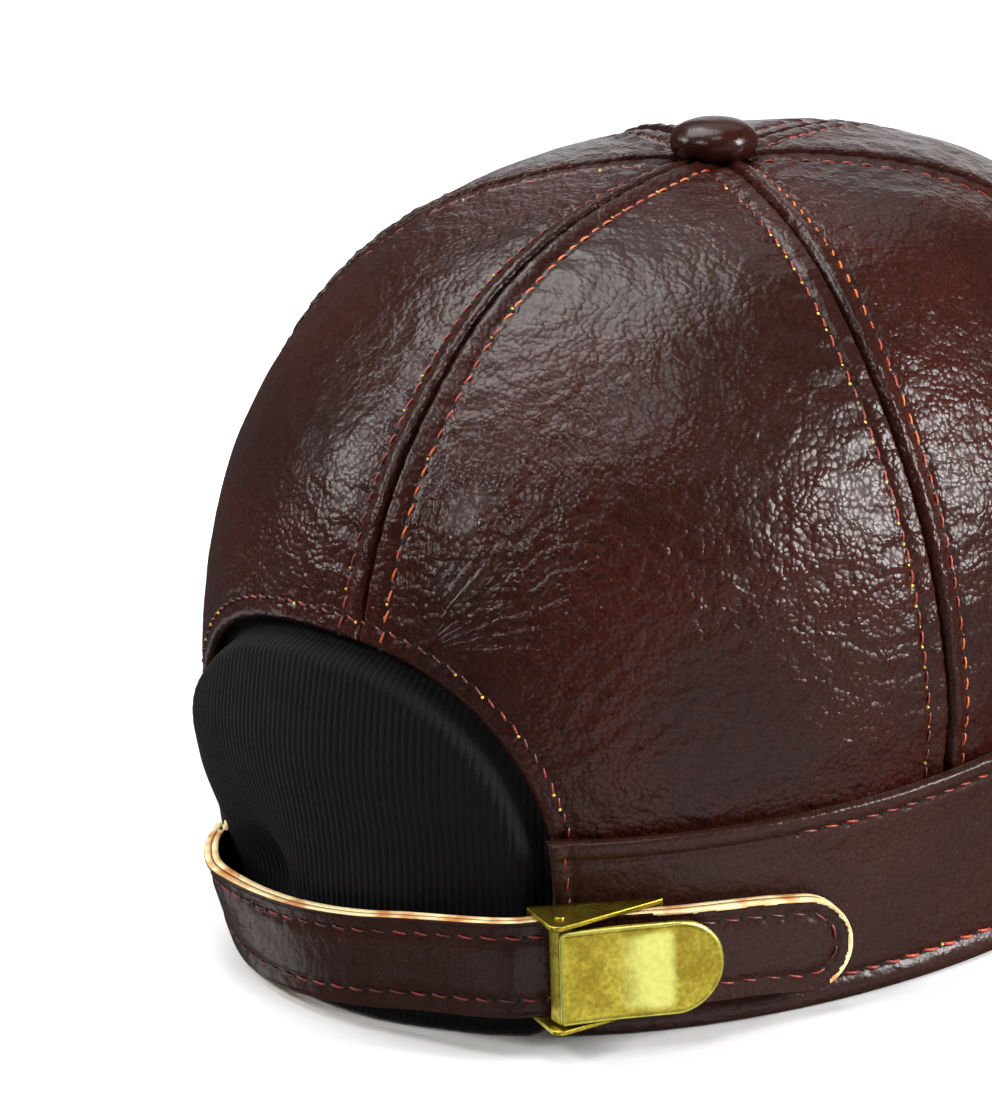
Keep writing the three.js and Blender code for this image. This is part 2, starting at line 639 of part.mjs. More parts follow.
// The lever: a bent plate with a round tip, on a hub that turns on the pin.
function buckleLever() {
  const half = LEVER.width / 2;
  const side = new THREE.Shape();
  side.moveTo(LEVER_START.along, LEVER_START.out);
  side.lineTo(LEVER_START.along, LEVER_START.out - LEVER.plate);
  side.lineTo(PIN.along - LEVER.hub, PIN.out + LEVER_NECK);
  side.absarc(PIN.along, PIN.out, LEVER.hub, Math.PI, 2 * Math.PI, false);
  side.lineTo(PIN.along + LEVER.hub, LEVER_START.out - LEVER.plate - LEVER_NECK);
  side.lineTo(LEVER_BEND.along, LEVER_BEND.out - LEVER.plate);
  side.lineTo(LEVER_TIP.along, LEVER_TIP.out - LEVER.plate);
  side.lineTo(LEVER_TIP.along, LEVER_TIP.out);
  side.lineTo(LEVER_BEND.along, LEVER_BEND.out);
  side.closePath();
  const front = new THREE.Shape();
  const behind = LEVER_START.along - LEVER.width; // past the hinged edge
  front.moveTo(behind, -half);
  front.lineTo(LEVER_TIP.along - half, -half);
  front.absarc(LEVER_TIP.along - half, 0, half, -Math.PI / 2, Math.PI / 2, false);
  front.lineTo(behind, half);
  front.closePath();
  const reach = 2 * LEVER_START.out;
  const outline = new THREE.ExtrudeGeometry(front, { depth: reach, bevelEnabled: false, curveSegments: 10 })
    .rotateX(Math.PI / 2).translate(0, reach, 0);
  const body = common(plate(side, -half, half), outline);
  const bore = new THREE.CylinderGeometry(LEVER.bore, LEVER.bore, 3 * half, ROUND_SIDES)
    .rotateX(Math.PI / 2).translate(PIN.along, PIN.out, 0);
  return placeAtBuckle(cut(body, bore));
}

// A plain leather pad, sewn between the buckle and the band.
function buckleTab() {
  const half = TAB.width / 2;
  return placeAtBuckle(block(TAB.from, TAB.to, TAB.out, TAB.out + TAB.thickness, -half, half));
}

// Strap

// The route of the strap's lower or upper edge, which lies against the crown at its own height.
function strapRoute(edge) {
  const half = STRAP_WIDTH / 2;
  const besideCrown = (row) => {
    const height = row.height + edge * Math.sqrt(half ** 2 - (row.flare / 2) ** 2);
    const out = row.standOff + edge * row.flare / 2;
    return crownPoint(row.angle, placeAtHeight(height))
      .addScaledVector(levelNormal(row.angle, height), out).setZ(height);
  };
  const inBuckle = STRAP_STATIONS.map((along) => atBuckle(along, STRAP_IN_BUCKLE, edge * half));
  const points = [...STRAP_TO_BUCKLE.map(besideCrown), ...inBuckle, ...STRAP_FROM_BUCKLE.map(besideCrown)];
  return new THREE.CatmullRomCurve3(points, false, "centripetal");
}

// One layer of the strap, between two distances out from the route.
function strapLayer(inside, thickness) {
  const low = strapRoute(-1);
  const high = strapRoute(1);
  const length = low.getLength();
  const half = STRAP_WIDTH / 2;
  const steps = 56;
  const roundSteps = 8;
  const straight = 1 - half / length;
  const lastBend = 0.985; // the round tip ends in a short straight edge
  const inner = [];
  const outer = [];
  for (const edge of [-1, 1]) {
    const innerRow = [];
    const outerRow = [];
    for (let j = 0; j <= steps; j++) {
      const bend = Math.min(Math.max((j - steps + roundSteps) / roundSteps, 0), lastBend);
      const share = j <= steps - roundSteps
        ? straight * j / (steps - roundSteps)
        : mix(straight, 1, Math.sin(bend * Math.PI / 2));
      const width = Math.cos(bend * Math.PI / 2);
      const here = low.getPointAt(share).lerp(high.getPointAt(share), 0.5 + 0.5 * edge * width);
      const tangent = low.getTangentAt(share).add(high.getTangentAt(share));
      const out = new THREE.Vector3(tangent.y, -tangent.x, 0).normalize();
      if (out.dot(here) < 0) out.negate();
      innerRow.push(here.clone().addScaledVector(out, inside));
      outerRow.push(here.clone().addScaledVector(out, inside + thickness));
    }
    inner.push(innerRow);
    outer.push(outerRow);
  }
  return sheetSolid(outer, inner);
}

// The whole cap, moved so that the origin lies under the middle of its outline

const assembly = new THREE.Group();
assembly.add(
  ...crownPanels(),
  piece("band_right", band(-1), DARK_LEATHER),
  piece("band_left", band(1), DARK_LEATHER),
  piece("button", button(), LEATHER),
  piece("brim", brim(), LEATHER),
  piece("knit_flap", knitFlap(), KNIT),
  piece("strap_backing", strapLayer(0, STRAP_LAYER), DARK_LEATHER),
  piece("strap_outer", strapLayer(STRAP_LAYER + LAYER_GAP, STRAP_LAYER), DARK_LEATHER),
  piece("buckle_tab", buckleTab(), DARK_LEATHER),
  piece("buckle_frame", buckleFramePiece(), BRASS),
  piece("buckle_pin", bucklePin(), BRASS),
  piece("buckle_lever", buckleLever(), BRASS),
);
const box = new THREE.Box3().setFromObject(assembly);
const middle = box.getCenter(new THREE.Vector3());
assembly.position.set(-middle.x, -middle.y, -box.min.z);

const cap = new THREE.Group();
cap.add(assembly);

export default cap;
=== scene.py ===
"""A leather baseball cap, seen from behind and from the wearer's right.

Six leather panels meet under a covered button. A wide leather band goes round their foot, a ribbed knit
flap fills the back opening, and a strap of two leather layers is held by a brass clamp buckle with a lever.
Shapes are drawn in millimetres from the middle of the rim, as in the part's source: +Z is up, the brim
points along -Y, and angles are in degrees from the middle of the back, positive towards the wearer's left.
"""

import math

import bmesh
import bpy
import numpy as np
from mathutils import Matrix, Vector, noise


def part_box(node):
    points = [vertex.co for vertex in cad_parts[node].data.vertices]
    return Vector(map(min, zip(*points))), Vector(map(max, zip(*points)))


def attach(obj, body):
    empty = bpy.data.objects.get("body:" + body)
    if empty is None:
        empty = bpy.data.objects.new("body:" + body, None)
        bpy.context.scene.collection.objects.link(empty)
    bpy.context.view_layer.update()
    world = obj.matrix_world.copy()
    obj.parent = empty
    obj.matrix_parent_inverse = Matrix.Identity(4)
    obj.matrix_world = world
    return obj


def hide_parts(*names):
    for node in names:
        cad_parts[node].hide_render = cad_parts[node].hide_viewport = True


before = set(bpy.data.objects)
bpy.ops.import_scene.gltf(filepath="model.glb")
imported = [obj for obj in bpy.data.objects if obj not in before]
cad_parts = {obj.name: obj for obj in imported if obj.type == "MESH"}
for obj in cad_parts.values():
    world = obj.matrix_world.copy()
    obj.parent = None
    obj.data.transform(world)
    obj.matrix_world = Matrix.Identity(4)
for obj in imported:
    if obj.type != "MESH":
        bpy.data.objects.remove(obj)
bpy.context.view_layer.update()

MM = 0.001

# Crown
HALF_LENGTH = 110
HALF_WIDTH = 86
CORNER_PINCH = 0.018
CROWN_HEIGHT = 129
APEX_LEAN = -10
PANEL_THICKNESS = 2
BUTTON_DIMPLE = 1.2
DIMPLE_RADIUS = 15

# The crown's outline: at each height, its reach as a share of the rim's size, at back, side and front
CROWN_COLUMNS = ("height", "back", "side", "front")
CROWN_ROWS = (
    (0, 0.995, 0.983, 1.029),
    (20, 1.014, 0.976, 1.02),
    (38, 1.015, 0.973, 1.001),
    (60, 1.005, 0.97, 0.982),
    (80, 0.961, 0.935, 0.934),
    (95, 0.894, 0.859, 0.855),
    (107, 0.793, 0.766, 0.765),
    (116, 0.688, 0.656, 0.663),
    (122, 0.57, 0.544, 0.535),
    (126, 0.435, 0.384, 0.399),
    (128.4, 0.25, 0.191, 0.207),
    (CROWN_HEIGHT, 0, 0, 0),
)

# The tightened strap draws the rim in, on the wearer's left of the opening
PULL_ANGLE = 30
PULL_SPREAD = 16
PULL_DEPTH = 3.5
PULL_FULL_BELOW = 10
PULL_NONE_ABOVE = 44

# Seams
SIDE_SEAM_ANGLE = 64.5
SIDE_SEAM_TURN = 13
SIDE_SEAM_BEND = 2.2
SEAM_ROW = 4.5            # from a seam to the row of stitches beside it
ROLL_MIDDLE = 1.5         # the padded roll between the two
ROLL_WIDTH = 1.7
FULL_ROLL = 0.95          # the roll on the side away from the back, and the one facing it
FLAT_ROLL = 0.2
GROOVE_WIDTH = 0.42
GROOVE_DEPTH = 1.1
ROW_DIP = 0.42            # how deep a row of stitches draws the leather in
ROW_DIP_WIDTH = 0.8

# Rim and band
FRONT_LIFT = 26
LIFT_POWER = 2.4
PANEL_FOOT = 1
BAND_THICKNESS = 1.8
BAND_HEIGHT = 37
BAND_SIDE_RISE = 1.5
BAND_SIDE_FROM = 50
BAND_SIDE_TO = 85
BAND_FRONT_RISE = 18
BAND_FLARE = 0.8
FLARE_HEIGHT = 12
BAND_CLEARANCE = 0.4
PANEL_TUCK_HEIGHT = 13
PANEL_TUCK_BELOW = 3
BAND_TOP_ROW = 3.4        # stitches below its upper edge
BAND_FOOT_ROW = 4.8       # and above its lower edge
BAND_END_ROW = 2.6        # and beside the opening

# Back opening
ARCH_MIDDLE = 9.5
ARCH_HALF_WIDTH = 44.5
ARCH_SPRING = 25
ARCH_RISE = 44
ARCH_SQUARENESS = 2.3
HEM_ROUND = 1.25          # half the thickness of its turned hem
HEM_ROW = 3.3             # from its edge to the stitches

# Knitted flap
KNIT_THICKNESS = 2.2
KNIT_CLEARANCE = 1.1
KNIT_FOOT = 0.6
KNIT_TOP = 79
KNIT_FROM = -27
KNIT_TO = 45
KNIT_BULGE = 4.9
KNIT_LOW_BULGE = 3.7
KNIT_FOOT_BULGE = 5.1
RIB_PITCH = 1.35
RIB_DEPTH = 0.42

# Brim
BRIM_END_ANGLE = 70
BRIM_LENGTH = 70
BRIM_END_WIDTH = 4
BRIM_THICKNESS = 3.8
BRIM_SPREAD = 0.55
BRIM_TIP_HEIGHT = 21
BRIM_SIDE_TOP = 3.9
BRIM_CROWNING = 1.2
BRIM_GAP = 0.35           # between the brim and the foot of the band
BRIM_SHELF = 6
BRIM_OUTLINE_POWER = 0.6
BRIM_LOW_SHARE = 0.85
BRIM_ARCH_POWER = 1.2
BRIM_ROWS = (5, 11)       # rows of stitches, from its outer edge

# Button
BUTTON_RADIUS = 8.2
BUTTON_FOOT = 127.4
BUTTON_TOP = 135.7
BUTTON_FOLDS = 9

# Strap
STRAP_WIDTH = 17.6
STRAP_LAYER = 1.2
LAYER_GAP = 0.3
STRAP_ROW = 3             # from its edges to the stitches
# Where the strap runs, by angle: its height off the crown, its upper edge's flare and its middle's height
STRAP_TO_BUCKLE = (
    (33.6, -1.5, 0, 10.7),
    (31, -0.9, 0, 10.6),
    (27.5, 0.1, 0.6, 10.4),
    (23.5, 1, 2.4, 10.2),
    (19.5, 1.7, 3.2, 10.2),
    (15, 1.5, 1.8, 10.5),
    (10, 1.2, 0.4, 10.9),
    (5, 1.2, 0, 11.8),
    (-1, 1.4, 0, 13.2),
    (-6, 1.6, 0, 14.5),
)
STRAP_FROM_BUCKLE = (
    (-38.5, 2.2, 0, 15.4),
    (-43, 2.3, 0, 14.4),
    (-47.8, 3, 0.6, 13.6),
)
STRAP_GATHER = 0.24       # how much narrower it is at its sewn end, and how much lower
STRAP_GATHER_DROP = 1.8
STRAP_GATHER_FROM = 24

# Buckle, in its own frame: along the strap towards its tip, out from the crown, and up
BUCKLE_ANGLE = -19.6
BUCKLE_MIDDLE = -25.5
BUCKLE_HEIGHT = 16.2
STRAP_IN_BUCKLE = 2.4
STRAP_STATIONS = (-9, -2, 6, 14, 20)
FRAME_FROM = -5.7
FRAME_TO = 17.7
FRAME_OUT = 1.3
FRAME_SHEET = 0.8
EAR_SHEET = 1
EAR_GAP = 18.2
EAR_TIP = (-1.4, 11.2)
EAR_TIP_RADIUS = 1.8
PIN_PLACE = (-0.8, 7.3)
PIN_RADIUS = 0.9
PIN_PROUD = 0.4
LEVER_SHEET = 1.1
LEVER_WIDTH = 17.2
LEVER_START = (-1.4, 10.7)
LEVER_BEND = (20, 9)
LEVER_TIP = (27.4, 7.1)
LEVER_HUB = 1.9
LEVER_HIGHLIGHT_FROM = (5, 15)       # a highlight is painted lighter on the lever's plate between these places
LEVER_HIGHLIGHT_TO = (17, 20.5)

# Stitches
SEAM_PITCH = 3.7
HEM_PITCH = 3.0
BAND_PITCH = 4.3
STITCH_GAP = 0.6
THREAD_RADIUS = 0.23
FOOT_THREAD_RADIUS = 0.33
HOLE_RADIUS = 0.4

# The photograph's view of the cap
CAMERA_AZIMUTH = 215.226
CAMERA_ELEVATION = 18.683
CAMERA_ROLL = -1.867
CAMERA_DISTANCE = 884.5
CAMERA_AIM = (30.4, 21.5, 53.35)
LENS = 149.84
SENSOR = 36

button_low, button_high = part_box("button")
RIM_MIDDLE_Y = (button_low.y + button_high.y) / 2 / MM - APEX_LEAN


# Numbers

def smooth(value, low, high):
    """0 below low, 1 above high, and an eased rise between."""
    t = np.clip((value - low) / (high - low), 0, 1)
    return t * t * (3 - 2 * t)


def mix(first, second, share):
    """A value between two others."""
    return first + (second - first) * share


def mound(value, middle, width):
    """A round hump of height 1."""
    return np.exp(-(((value - middle) / width) ** 2))


def fallen_edge(distance, radius):
    """How far a rounded edge has fallen back at a distance from it."""
    short = np.clip(radius - distance, 0, radius)
    return radius - np.sqrt(radius**2 - short**2)


def stations(length, coarse, fine, zone):
    """Places from 0 to a length, close together near both ends."""
    zone = min(zone, length / 3)
    near = np.arange(0, zone, fine)
    count = max(int(math.ceil((length - 2 * zone) / coarse)), 1)
    middle = np.linspace(zone, length - zone, count + 1)
    return np.concatenate([near, middle, length - near[::-1]])


def unit(vectors):
    """Vectors of length 1."""
    return vectors / np.maximum(np.linalg.norm(vectors, axis=-1, keepdims=True), 1e-9)


def lumps(points, size, seed=0.0):
    """Smooth random values from about -1 to 1, with lumps of this size."""
    places = points.reshape(-1, 3) / size + seed
    values = [noise.noise(Vector(p)) for p in places]
    return np.array(values).reshape(points.shape[:-1])


# The crown's surface

PLACES = np.linspace(0, len(CROWN_ROWS) - 1, 1101)
EASING = 45               # samples of PLACES over which the outline is eased


def through_rows(name):
    """One column of the crown's table as a smooth curve sampled at PLACES."""
    values = np.array([row[CROWN_COLUMNS.index(name)] for row in CROWN_ROWS], float)
    longer = np.concatenate([[2 * values[0] - values[1]], values, [2 * values[-1] - values[-2]]])
    row = np.minimum(PLACES.astype(int), len(values) - 2)
    t = PLACES - row
    before, here, after, last = (longer[row + k] for k in range(4))
    slope_here = (after - before) / 2
    slope_after = (last - here) / 2
    rise = after - here
    curve = here + t * slope_here + t**2 * (3 * rise - 2 * slope_here - slope_after)
    curve += t**3 * (slope_here + slope_after - 2 * rise)
    reach = 3 * EASING
    before_foot = 2 * curve[0] - curve[reach:0:-1]
    past_top = 2 * curve[-1] - curve[-2:-reach - 2:-1]
    padded = np.concatenate([before_foot, curve, past_top])
    kernel = mound(np.arange(-reach, reach + 1), 0, EASING)
    return np.convolve(padded, kernel / kernel.sum(), "valid")


HEIGHTS, BACKS, SIDES, FRONTS = (through_rows(name) for name in CROWN_COLUMNS)


def place_at(height):
    """The place in the crown's table that has this height."""
    return np.interp(height, HEIGHTS, PLACES)


def height_at(place):
    """The height at a place in the crown's table, before the button's dimple."""
    return np.interp(place, PLACES, HEIGHTS)


def crown_radius(angle, place):
    """How far the crown reaches from its leaning axis."""
    a = np.radians(angle)
    reach = np.interp(place, PLACES, BACKS) * np.maximum(np.cos(a), 0) ** 2
    reach = reach + np.interp(place, PLACES, SIDES) * np.sin(a) ** 2
    reach = reach + np.interp(place, PLACES, FRONTS) * np.maximum(-np.cos(a), 0) ** 2
    rim = (1 - CORNER_PINCH * np.sin(2 * a) ** 2) / np.hypot(np.cos(a) / HALF_LENGTH, np.sin(a) / HALF_WIDTH)
    pull = PULL_DEPTH * mound(angle, PULL_ANGLE, PULL_SPREAD)
    pull = pull * (1 - smooth(height_at(place), PULL_FULL_BELOW, PULL_NONE_ABOVE))
    return np.maximum(rim * reach - pull, 0)


def crown_point(angle, place):
    """Points on the crown's outer face."""
    angle, place = np.broadcast_arrays(np.asarray(angle, float), np.asarray(place, float))
    a = np.radians(angle)
    radius = crown_radius(angle, place)
    height = height_at(place)
    dimple = BUTTON_DIMPLE * (1 - smooth(radius, 0, DIMPLE_RADIUS))
    lean = APEX_LEAN * (height / CROWN_HEIGHT) ** 2
    return np.stack([radius * np.sin(a), radius * np.cos(a) + lean, height - dimple], -1)


def way_round(angle, place):
    """The way round the crown, towards greater angles."""
    return crown_point(angle + 0.5, place) - crown_point(angle - 0.5, place)


def crown_normal(angle, place):
    """The crown's outward direction."""
    step = 0.06
    above = crown_point(angle, np.minimum(place + step, PLACES[-1]))
    below = crown_point(angle, np.maximum(place - step, 0))
    return unit(np.cross(above - below, way_round(angle, place)))


def crown_offset(angle, place, out):
    """Points moved straight out from the crown's outer face."""
    out = np.asarray(out, float)
    return crown_point(angle, place) + crown_normal(angle, place) * out[..., None]


def level_normal(angle, height):
    """The level outward direction."""
    way = way_round(angle, place_at(height))
    return unit(np.stack([-way[..., 1], way[..., 0], np.zeros_like(way[..., 0])], -1))


def rim_lift(angle):
    """How far the rim lifts off the table."""
    a = np.radians(angle)
    return np.where(np.cos(a) < 0, FRONT_LIFT * (1 - np.abs(np.sin(a)) ** LIFT_POWER), 0)


def band_top(angle):
    """The height of the band's upper edge."""
    a = np.radians(angle)
    front = np.where(np.cos(a) < 0, BAND_FRONT_RISE * (1 - np.abs(np.sin(a)) ** LIFT_POWER), 0)
    return BAND_HEIGHT + BAND_SIDE_RISE * smooth(np.abs(angle), BAND_SIDE_FROM, BAND_SIDE_TO) + front


def panel_tuck(angle, height):
    """How far the panels are tucked in to pass behind the band."""
    top = band_top(angle)
    freed = smooth(height, top - PANEL_TUCK_BELOW, top + PANEL_TUCK_HEIGHT)
    return (BAND_THICKNESS + BAND_CLEARANCE) * (1 - freed)


def seam_angle(seam, height):
    """Where a seam lies: 0 back middle, 1 rear side, 2 front side, 3 front middle."""
    turn = SIDE_SEAM_TURN * (np.maximum(height, 0) / CROWN_HEIGHT) ** SIDE_SEAM_BEND
    return (0 * turn, SIDE_SEAM_ANGLE - turn, 180 - SIDE_SEAM_ANGLE + turn, 180 + 0 * turn)[seam]


# The back opening

def arch_value(x, z, margin):
    """Under 1 inside the opening grown by a margin, 1 on its edge."""
    across = np.abs(x - ARCH_MIDDLE) / (ARCH_HALF_WIDTH + margin)
    up = np.maximum(z - ARCH_SPRING, 0) / (ARCH_RISE + margin)
    return across**ARCH_SQUARENESS + up**ARCH_SQUARENESS


def arch_edge(margin, foot=-3):
    """The edge of the opening grown by a margin, from -X over the top to +X, as x and z."""
    turn = np.linspace(math.pi, 0, 721)
    power = 2 / ARCH_SQUARENESS
    x = ARCH_MIDDLE + (ARCH_HALF_WIDTH + margin) * np.sign(np.cos(turn)) * np.abs(np.cos(turn)) ** power
    z = ARCH_SPRING + (ARCH_RISE + margin) * np.abs(np.sin(turn)) ** power
    leg = np.linspace(foot, ARCH_SPRING, 120)[:-1]
    x = np.concatenate([np.full(leg.shape, x[0]), x, np.full(leg.shape, x[-1])])
    z = np.concatenate([leg, z, leg[::-1]])
    return x, z


def angle_at_x(x, place):
    """The angle at which the crown has this x, at a place."""
    low = np.full(np.shape(x), -85.0)
    high = np.full(np.shape(x), 85.0)
    for _ in range(40):
        middle = (low + high) / 2
        below = crown_radius(middle, place) * np.sin(np.radians(middle)) < x
        low = np.where(below, middle, low)
        high = np.where(below, high, middle)
    return (low + high) / 2


def arch_on_crown(margin):
    """The edge of the grown opening as angles and places."""
    x, z = arch_edge(margin)
    place = place_at(np.maximum(z, 0))
    return angle_at_x(x, place), place


def distance_to_line(points, line):
    """The distance from each point to the nearest of a close row of points."""
    flat = points.reshape(-1, 3)
    nearest = np.full(len(flat), 1e9)
    for part in np.array_split(np.arange(len(flat)), max(len(flat) // 2000, 1)):
        gaps = np.linalg.norm(flat[part, None, :] - line[None, :, :], axis=2)
        nearest[part] = gaps.min(1)
    return nearest.reshape(points.shape[:-1])


# Meshes

def in_metres(points):
    """Points of the shared frame, in metres."""
    moved = np.asarray(points, float).reshape(-1, 3) + (0, RIM_MIDDLE_Y, 0)
    return moved * MM


def lengths_along(points):
    """The length of a line of points from its start to each point."""
    return np.concatenate([[0], np.cumsum(np.linalg.norm(np.diff(points, axis=0), axis=1))])


def add_piece(name, points, faces, materials, looks=None):
    """A smooth mesh piece from points in millimetres. looks gives each face's material."""
    mesh = bpy.data.meshes.new(name)
    mesh.from_pydata(in_metres(points).tolist(), [], [tuple(f) for f in np.asarray(faces).tolist()])
    for material in materials:
        mesh.materials.append(material)
    if looks is not None:
        mesh.polygons.foreach_set("material_index", np.asarray(looks, np.int32))
    mesh.polygons.foreach_set("use_smooth", np.full(len(mesh.polygons), True))
    mesh.update()
    piece = bpy.data.objects.new(name, mesh)
    bpy.context.scene.collection.objects.link(piece)
    return piece


def mark(piece, name, values):
    """Gives each point of a piece a value that its material reads."""
    attribute = piece.data.attributes.new(name, "FLOAT", "POINT")
    attribute.data.foreach_set("value", np.asarray(values, np.float32))


def on_cap(piece, slot, *nodes):
    """The piece rides on the cap and takes the place of its CAD nodes."""
    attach(piece, "cap")
    if nodes:
        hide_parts(*nodes)
    return piece


def grid_quads(rows, columns):
    """The faces of a grid of nodes numbered row by row."""
    index = np.arange(rows * columns).reshape(rows, columns)
    return np.stack([index[:-1, :-1], index[:-1, 1:], index[1:, 1:], index[1:, :-1]], -1).reshape(-1, 4)


def border_edges(quads):
    """The edges that only one face uses, in that face's direction."""
    edges = np.concatenate([quads[:, [k, (k + 1) % 4]] for k in range(4)])
    key = np.sort(edges, axis=1)
    _, first, counts = np.unique(key, axis=0, return_index=True, return_counts=True)
    return edges[first[counts == 1]]


def facing_out(points, faces):
    """The faces of a closed mesh, turned outwards."""
    p = points - points.mean(0)
    a, b, c, d = (p[faces[:, k]] for k in range(4))
    volume = (a * np.cross(b, c)).sum() + (a * np.cross(c, d)).sum()
    return faces if volume > 0 else faces[:, ::-1]


def closed_sheet(outer, inner, quads, rings=()):
    """A sheet with an outer and an inner face. rings is a list of (nodes on the edge, points of a ring).

    Returns points, faces and a look for each face: 0 outer, 1 inner, 2 cut edge.
    """
    count = len(outer)
    points = [outer, inner]
    total = 2 * count
    numbers = [np.arange(count)]
    turned = np.zeros(count, bool)
    for nodes, ring in rings:
        number = np.full(count, -1)
        number[nodes] = total + np.arange(len(nodes))
        numbers.append(number)
        turned[nodes] = True
        points.append(ring)
        total += len(nodes)
    numbers.append(np.arange(count) + count)
    edges = border_edges(quads)
    hem = turned[edges[:, 0]] & turned[edges[:, 1]]
    plain = edges[~hem]
    walls = np.stack([plain[:, 1], plain[:, 0], plain[:, 0] + count, plain[:, 1] + count], -1)
    faces = [quads, quads[:, ::-1] + count, walls]
    looks = [np.zeros(len(quads)), np.ones(len(quads)), np.full(len(walls), 2)]
    if rings:
        folded = edges[hem]
        for near, far in zip(numbers[:-1], numbers[1:]):
            start, end = folded.T
            strip = np.stack([near[end], near[start], far[start], far[end]], -1)
            faces.append(strip)
            looks.append(np.zeros(len(strip)))
    points = np.concatenate(points)
    faces = np.concatenate(faces)
    looks = np.concatenate(looks)
    used = np.unique(faces)
    renumber = np.full(len(points), -1)
    renumber[used] = np.arange(len(used))
    points = points[used]
    return points, facing_out(points, renumber[faces]), looks


def sheet_between(outer, inner):
    """A closed sheet between two grids of points."""
    return closed_sheet(outer.reshape(-1, 3), inner.reshape(-1, 3), grid_quads(*outer.shape[:2]))


# Materials

def colour(hex_code, alpha=1.0):
    """An sRGB hex colour as linear numbers."""
    parts = [int(hex_code[k:k + 2], 16) / 255 for k in (1, 3, 5)]
    linear = [c / 12.92 if c <= 0.04045 else ((c + 0.055) / 1.055) ** 2.4 for c in parts]
    return (*linear, alpha)


def add_node(tree, kind, output, sockets, **settings):
    """Adds a node and returns one of its outputs. sockets maps inputs to values or to outputs to link."""
    made = tree.nodes.new("ShaderNode" + kind)
    for name, value in settings.items():
        setattr(made, name, value)
    for name, value in sockets.items():
        if isinstance(value, bpy.types.NodeSocket):
            tree.links.new(value, made.inputs[name])
        else:
            made.inputs[name].default_value = value
    return made.outputs[output]


# Numbers of the Mix node's colour sockets, whose names are shared with its other sockets
FACTOR = 0
FIRST = 6
SECOND = 7
MIXED = 2


def new_material(name):
    """A material with its node tree, its shader and the place on the object."""
    material = bpy.data.materials.new(name)
    material.use_nodes = True
    tree = material.node_tree
    shader = tree.nodes["Principled BSDF"]
    place = add_node(tree, "TexCoord", "Object", {})
    return material, tree, shader, place


def finish(shader, values, links):
    """Sets the shader's plain values and links the rest."""
    for name, value in values.items():
        shader.inputs[name].default_value = value
    for name, output in links.items():
        shader.id_data.links.new(output, shader.inputs[name])


def per_mm(size):
    """A texture's scale for a pattern of this size in millimetres."""
    return 1 / (size * MM)


FOLD_START = (-12, 106, 69)       # creases fan out from here, at the opening's hem
FOLD_ALONG = (-0.386, -0.557, 0.728)
FOLD_ACROSS = (-0.88, -0.046, -0.478)
FOLDS_PER_RADIAN = 14
FOLD_WANDER = 1.9


def fanned_folds(tree, place):
    """Creases that fan out from the opening's hem, as a height from 0 to 1."""
    start = [v * MM for v in (FOLD_START[0], FOLD_START[1] + RIM_MIDDLE_Y, FOLD_START[2])]
    wander = add_node(tree, "TexNoise", "Fac", {"Vector": place, "Scale": per_mm(9), "Detail": 3.0})
    breaks = add_node(tree, "TexNoise", "Fac", {"Vector": place, "Scale": per_mm(6), "Detail": 2.0})
    away = add_node(tree, "VectorMath", 0, {0: place, 1: start}, operation="SUBTRACT")
    along = add_node(tree, "VectorMath", "Value", {0: away, 1: FOLD_ALONG}, operation="DOT_PRODUCT")
    across = add_node(tree, "VectorMath", "Value", {0: away, 1: FOLD_ACROSS}, operation="DOT_PRODUCT")
    turn = add_node(tree, "Math", 0, {0: across, 1: along}, operation="ARCTAN2")
    spread = add_node(tree, "Math", 0, {0: turn}, operation="ABSOLUTE")
    reach = add_node(tree, "VectorMath", "Value", {0: away}, operation="LENGTH")
    swayed = add_node(tree, "Math", 0, {0: wander, 1: 2 * math.pi * FOLD_WANDER}, operation="MULTIPLY")
    phase = add_node(tree, "Math", 0, {0: turn, 1: math.pi * FOLDS_PER_RADIAN, 2: swayed},
                     operation="MULTIPLY_ADD")
    wave = add_node(tree, "Math", 0, {0: phase}, operation="SINE")
    folds = add_node(tree, "MapRange", "Result", {"Value": wave, "From Min": -0.5, "From Max": 0.95},
                     interpolation_type="SMOOTHSTEP")
    # They begin past the hem, fade with the distance and to both sides of the fan, and break up
    limits = (
        (reach, 3 * MM, 11 * MM, 0.0, 1.0),
        (reach, 15 * MM, 42 * MM, 1.0, 0.0),
        (spread, 0.35, 1.15, 1.0, 0.0),
        (breaks, 0.38, 0.58, 0.0, 1.0),
    )
    for value, low, high, to_low, to_high in limits:
        sockets = {"Value": value, "From Min": low, "From Max": high, "To Min": to_low, "To Max": to_high}
        share = add_node(tree, "MapRange", "Result", sockets, interpolation_type="SMOOTHSTEP")
        folds = add_node(tree, "Math", 0, {0: folds, 1: share}, operation="MULTIPLY")
    return folds


GRAIN_WAY = (0.57, -0.8, -0.3)    # the hide's pebbles are drawn out along this direction
SWELL_DEPTH = 5.0         # depths as shares of the grain's: the hide's soft swells, and one pebble
PEBBLE_FALL = 1.3         # a pebble is a low dome, whose height falls with the square of the distance
FOLD_DEPTH = 0.6          # and the folds', in millimetres


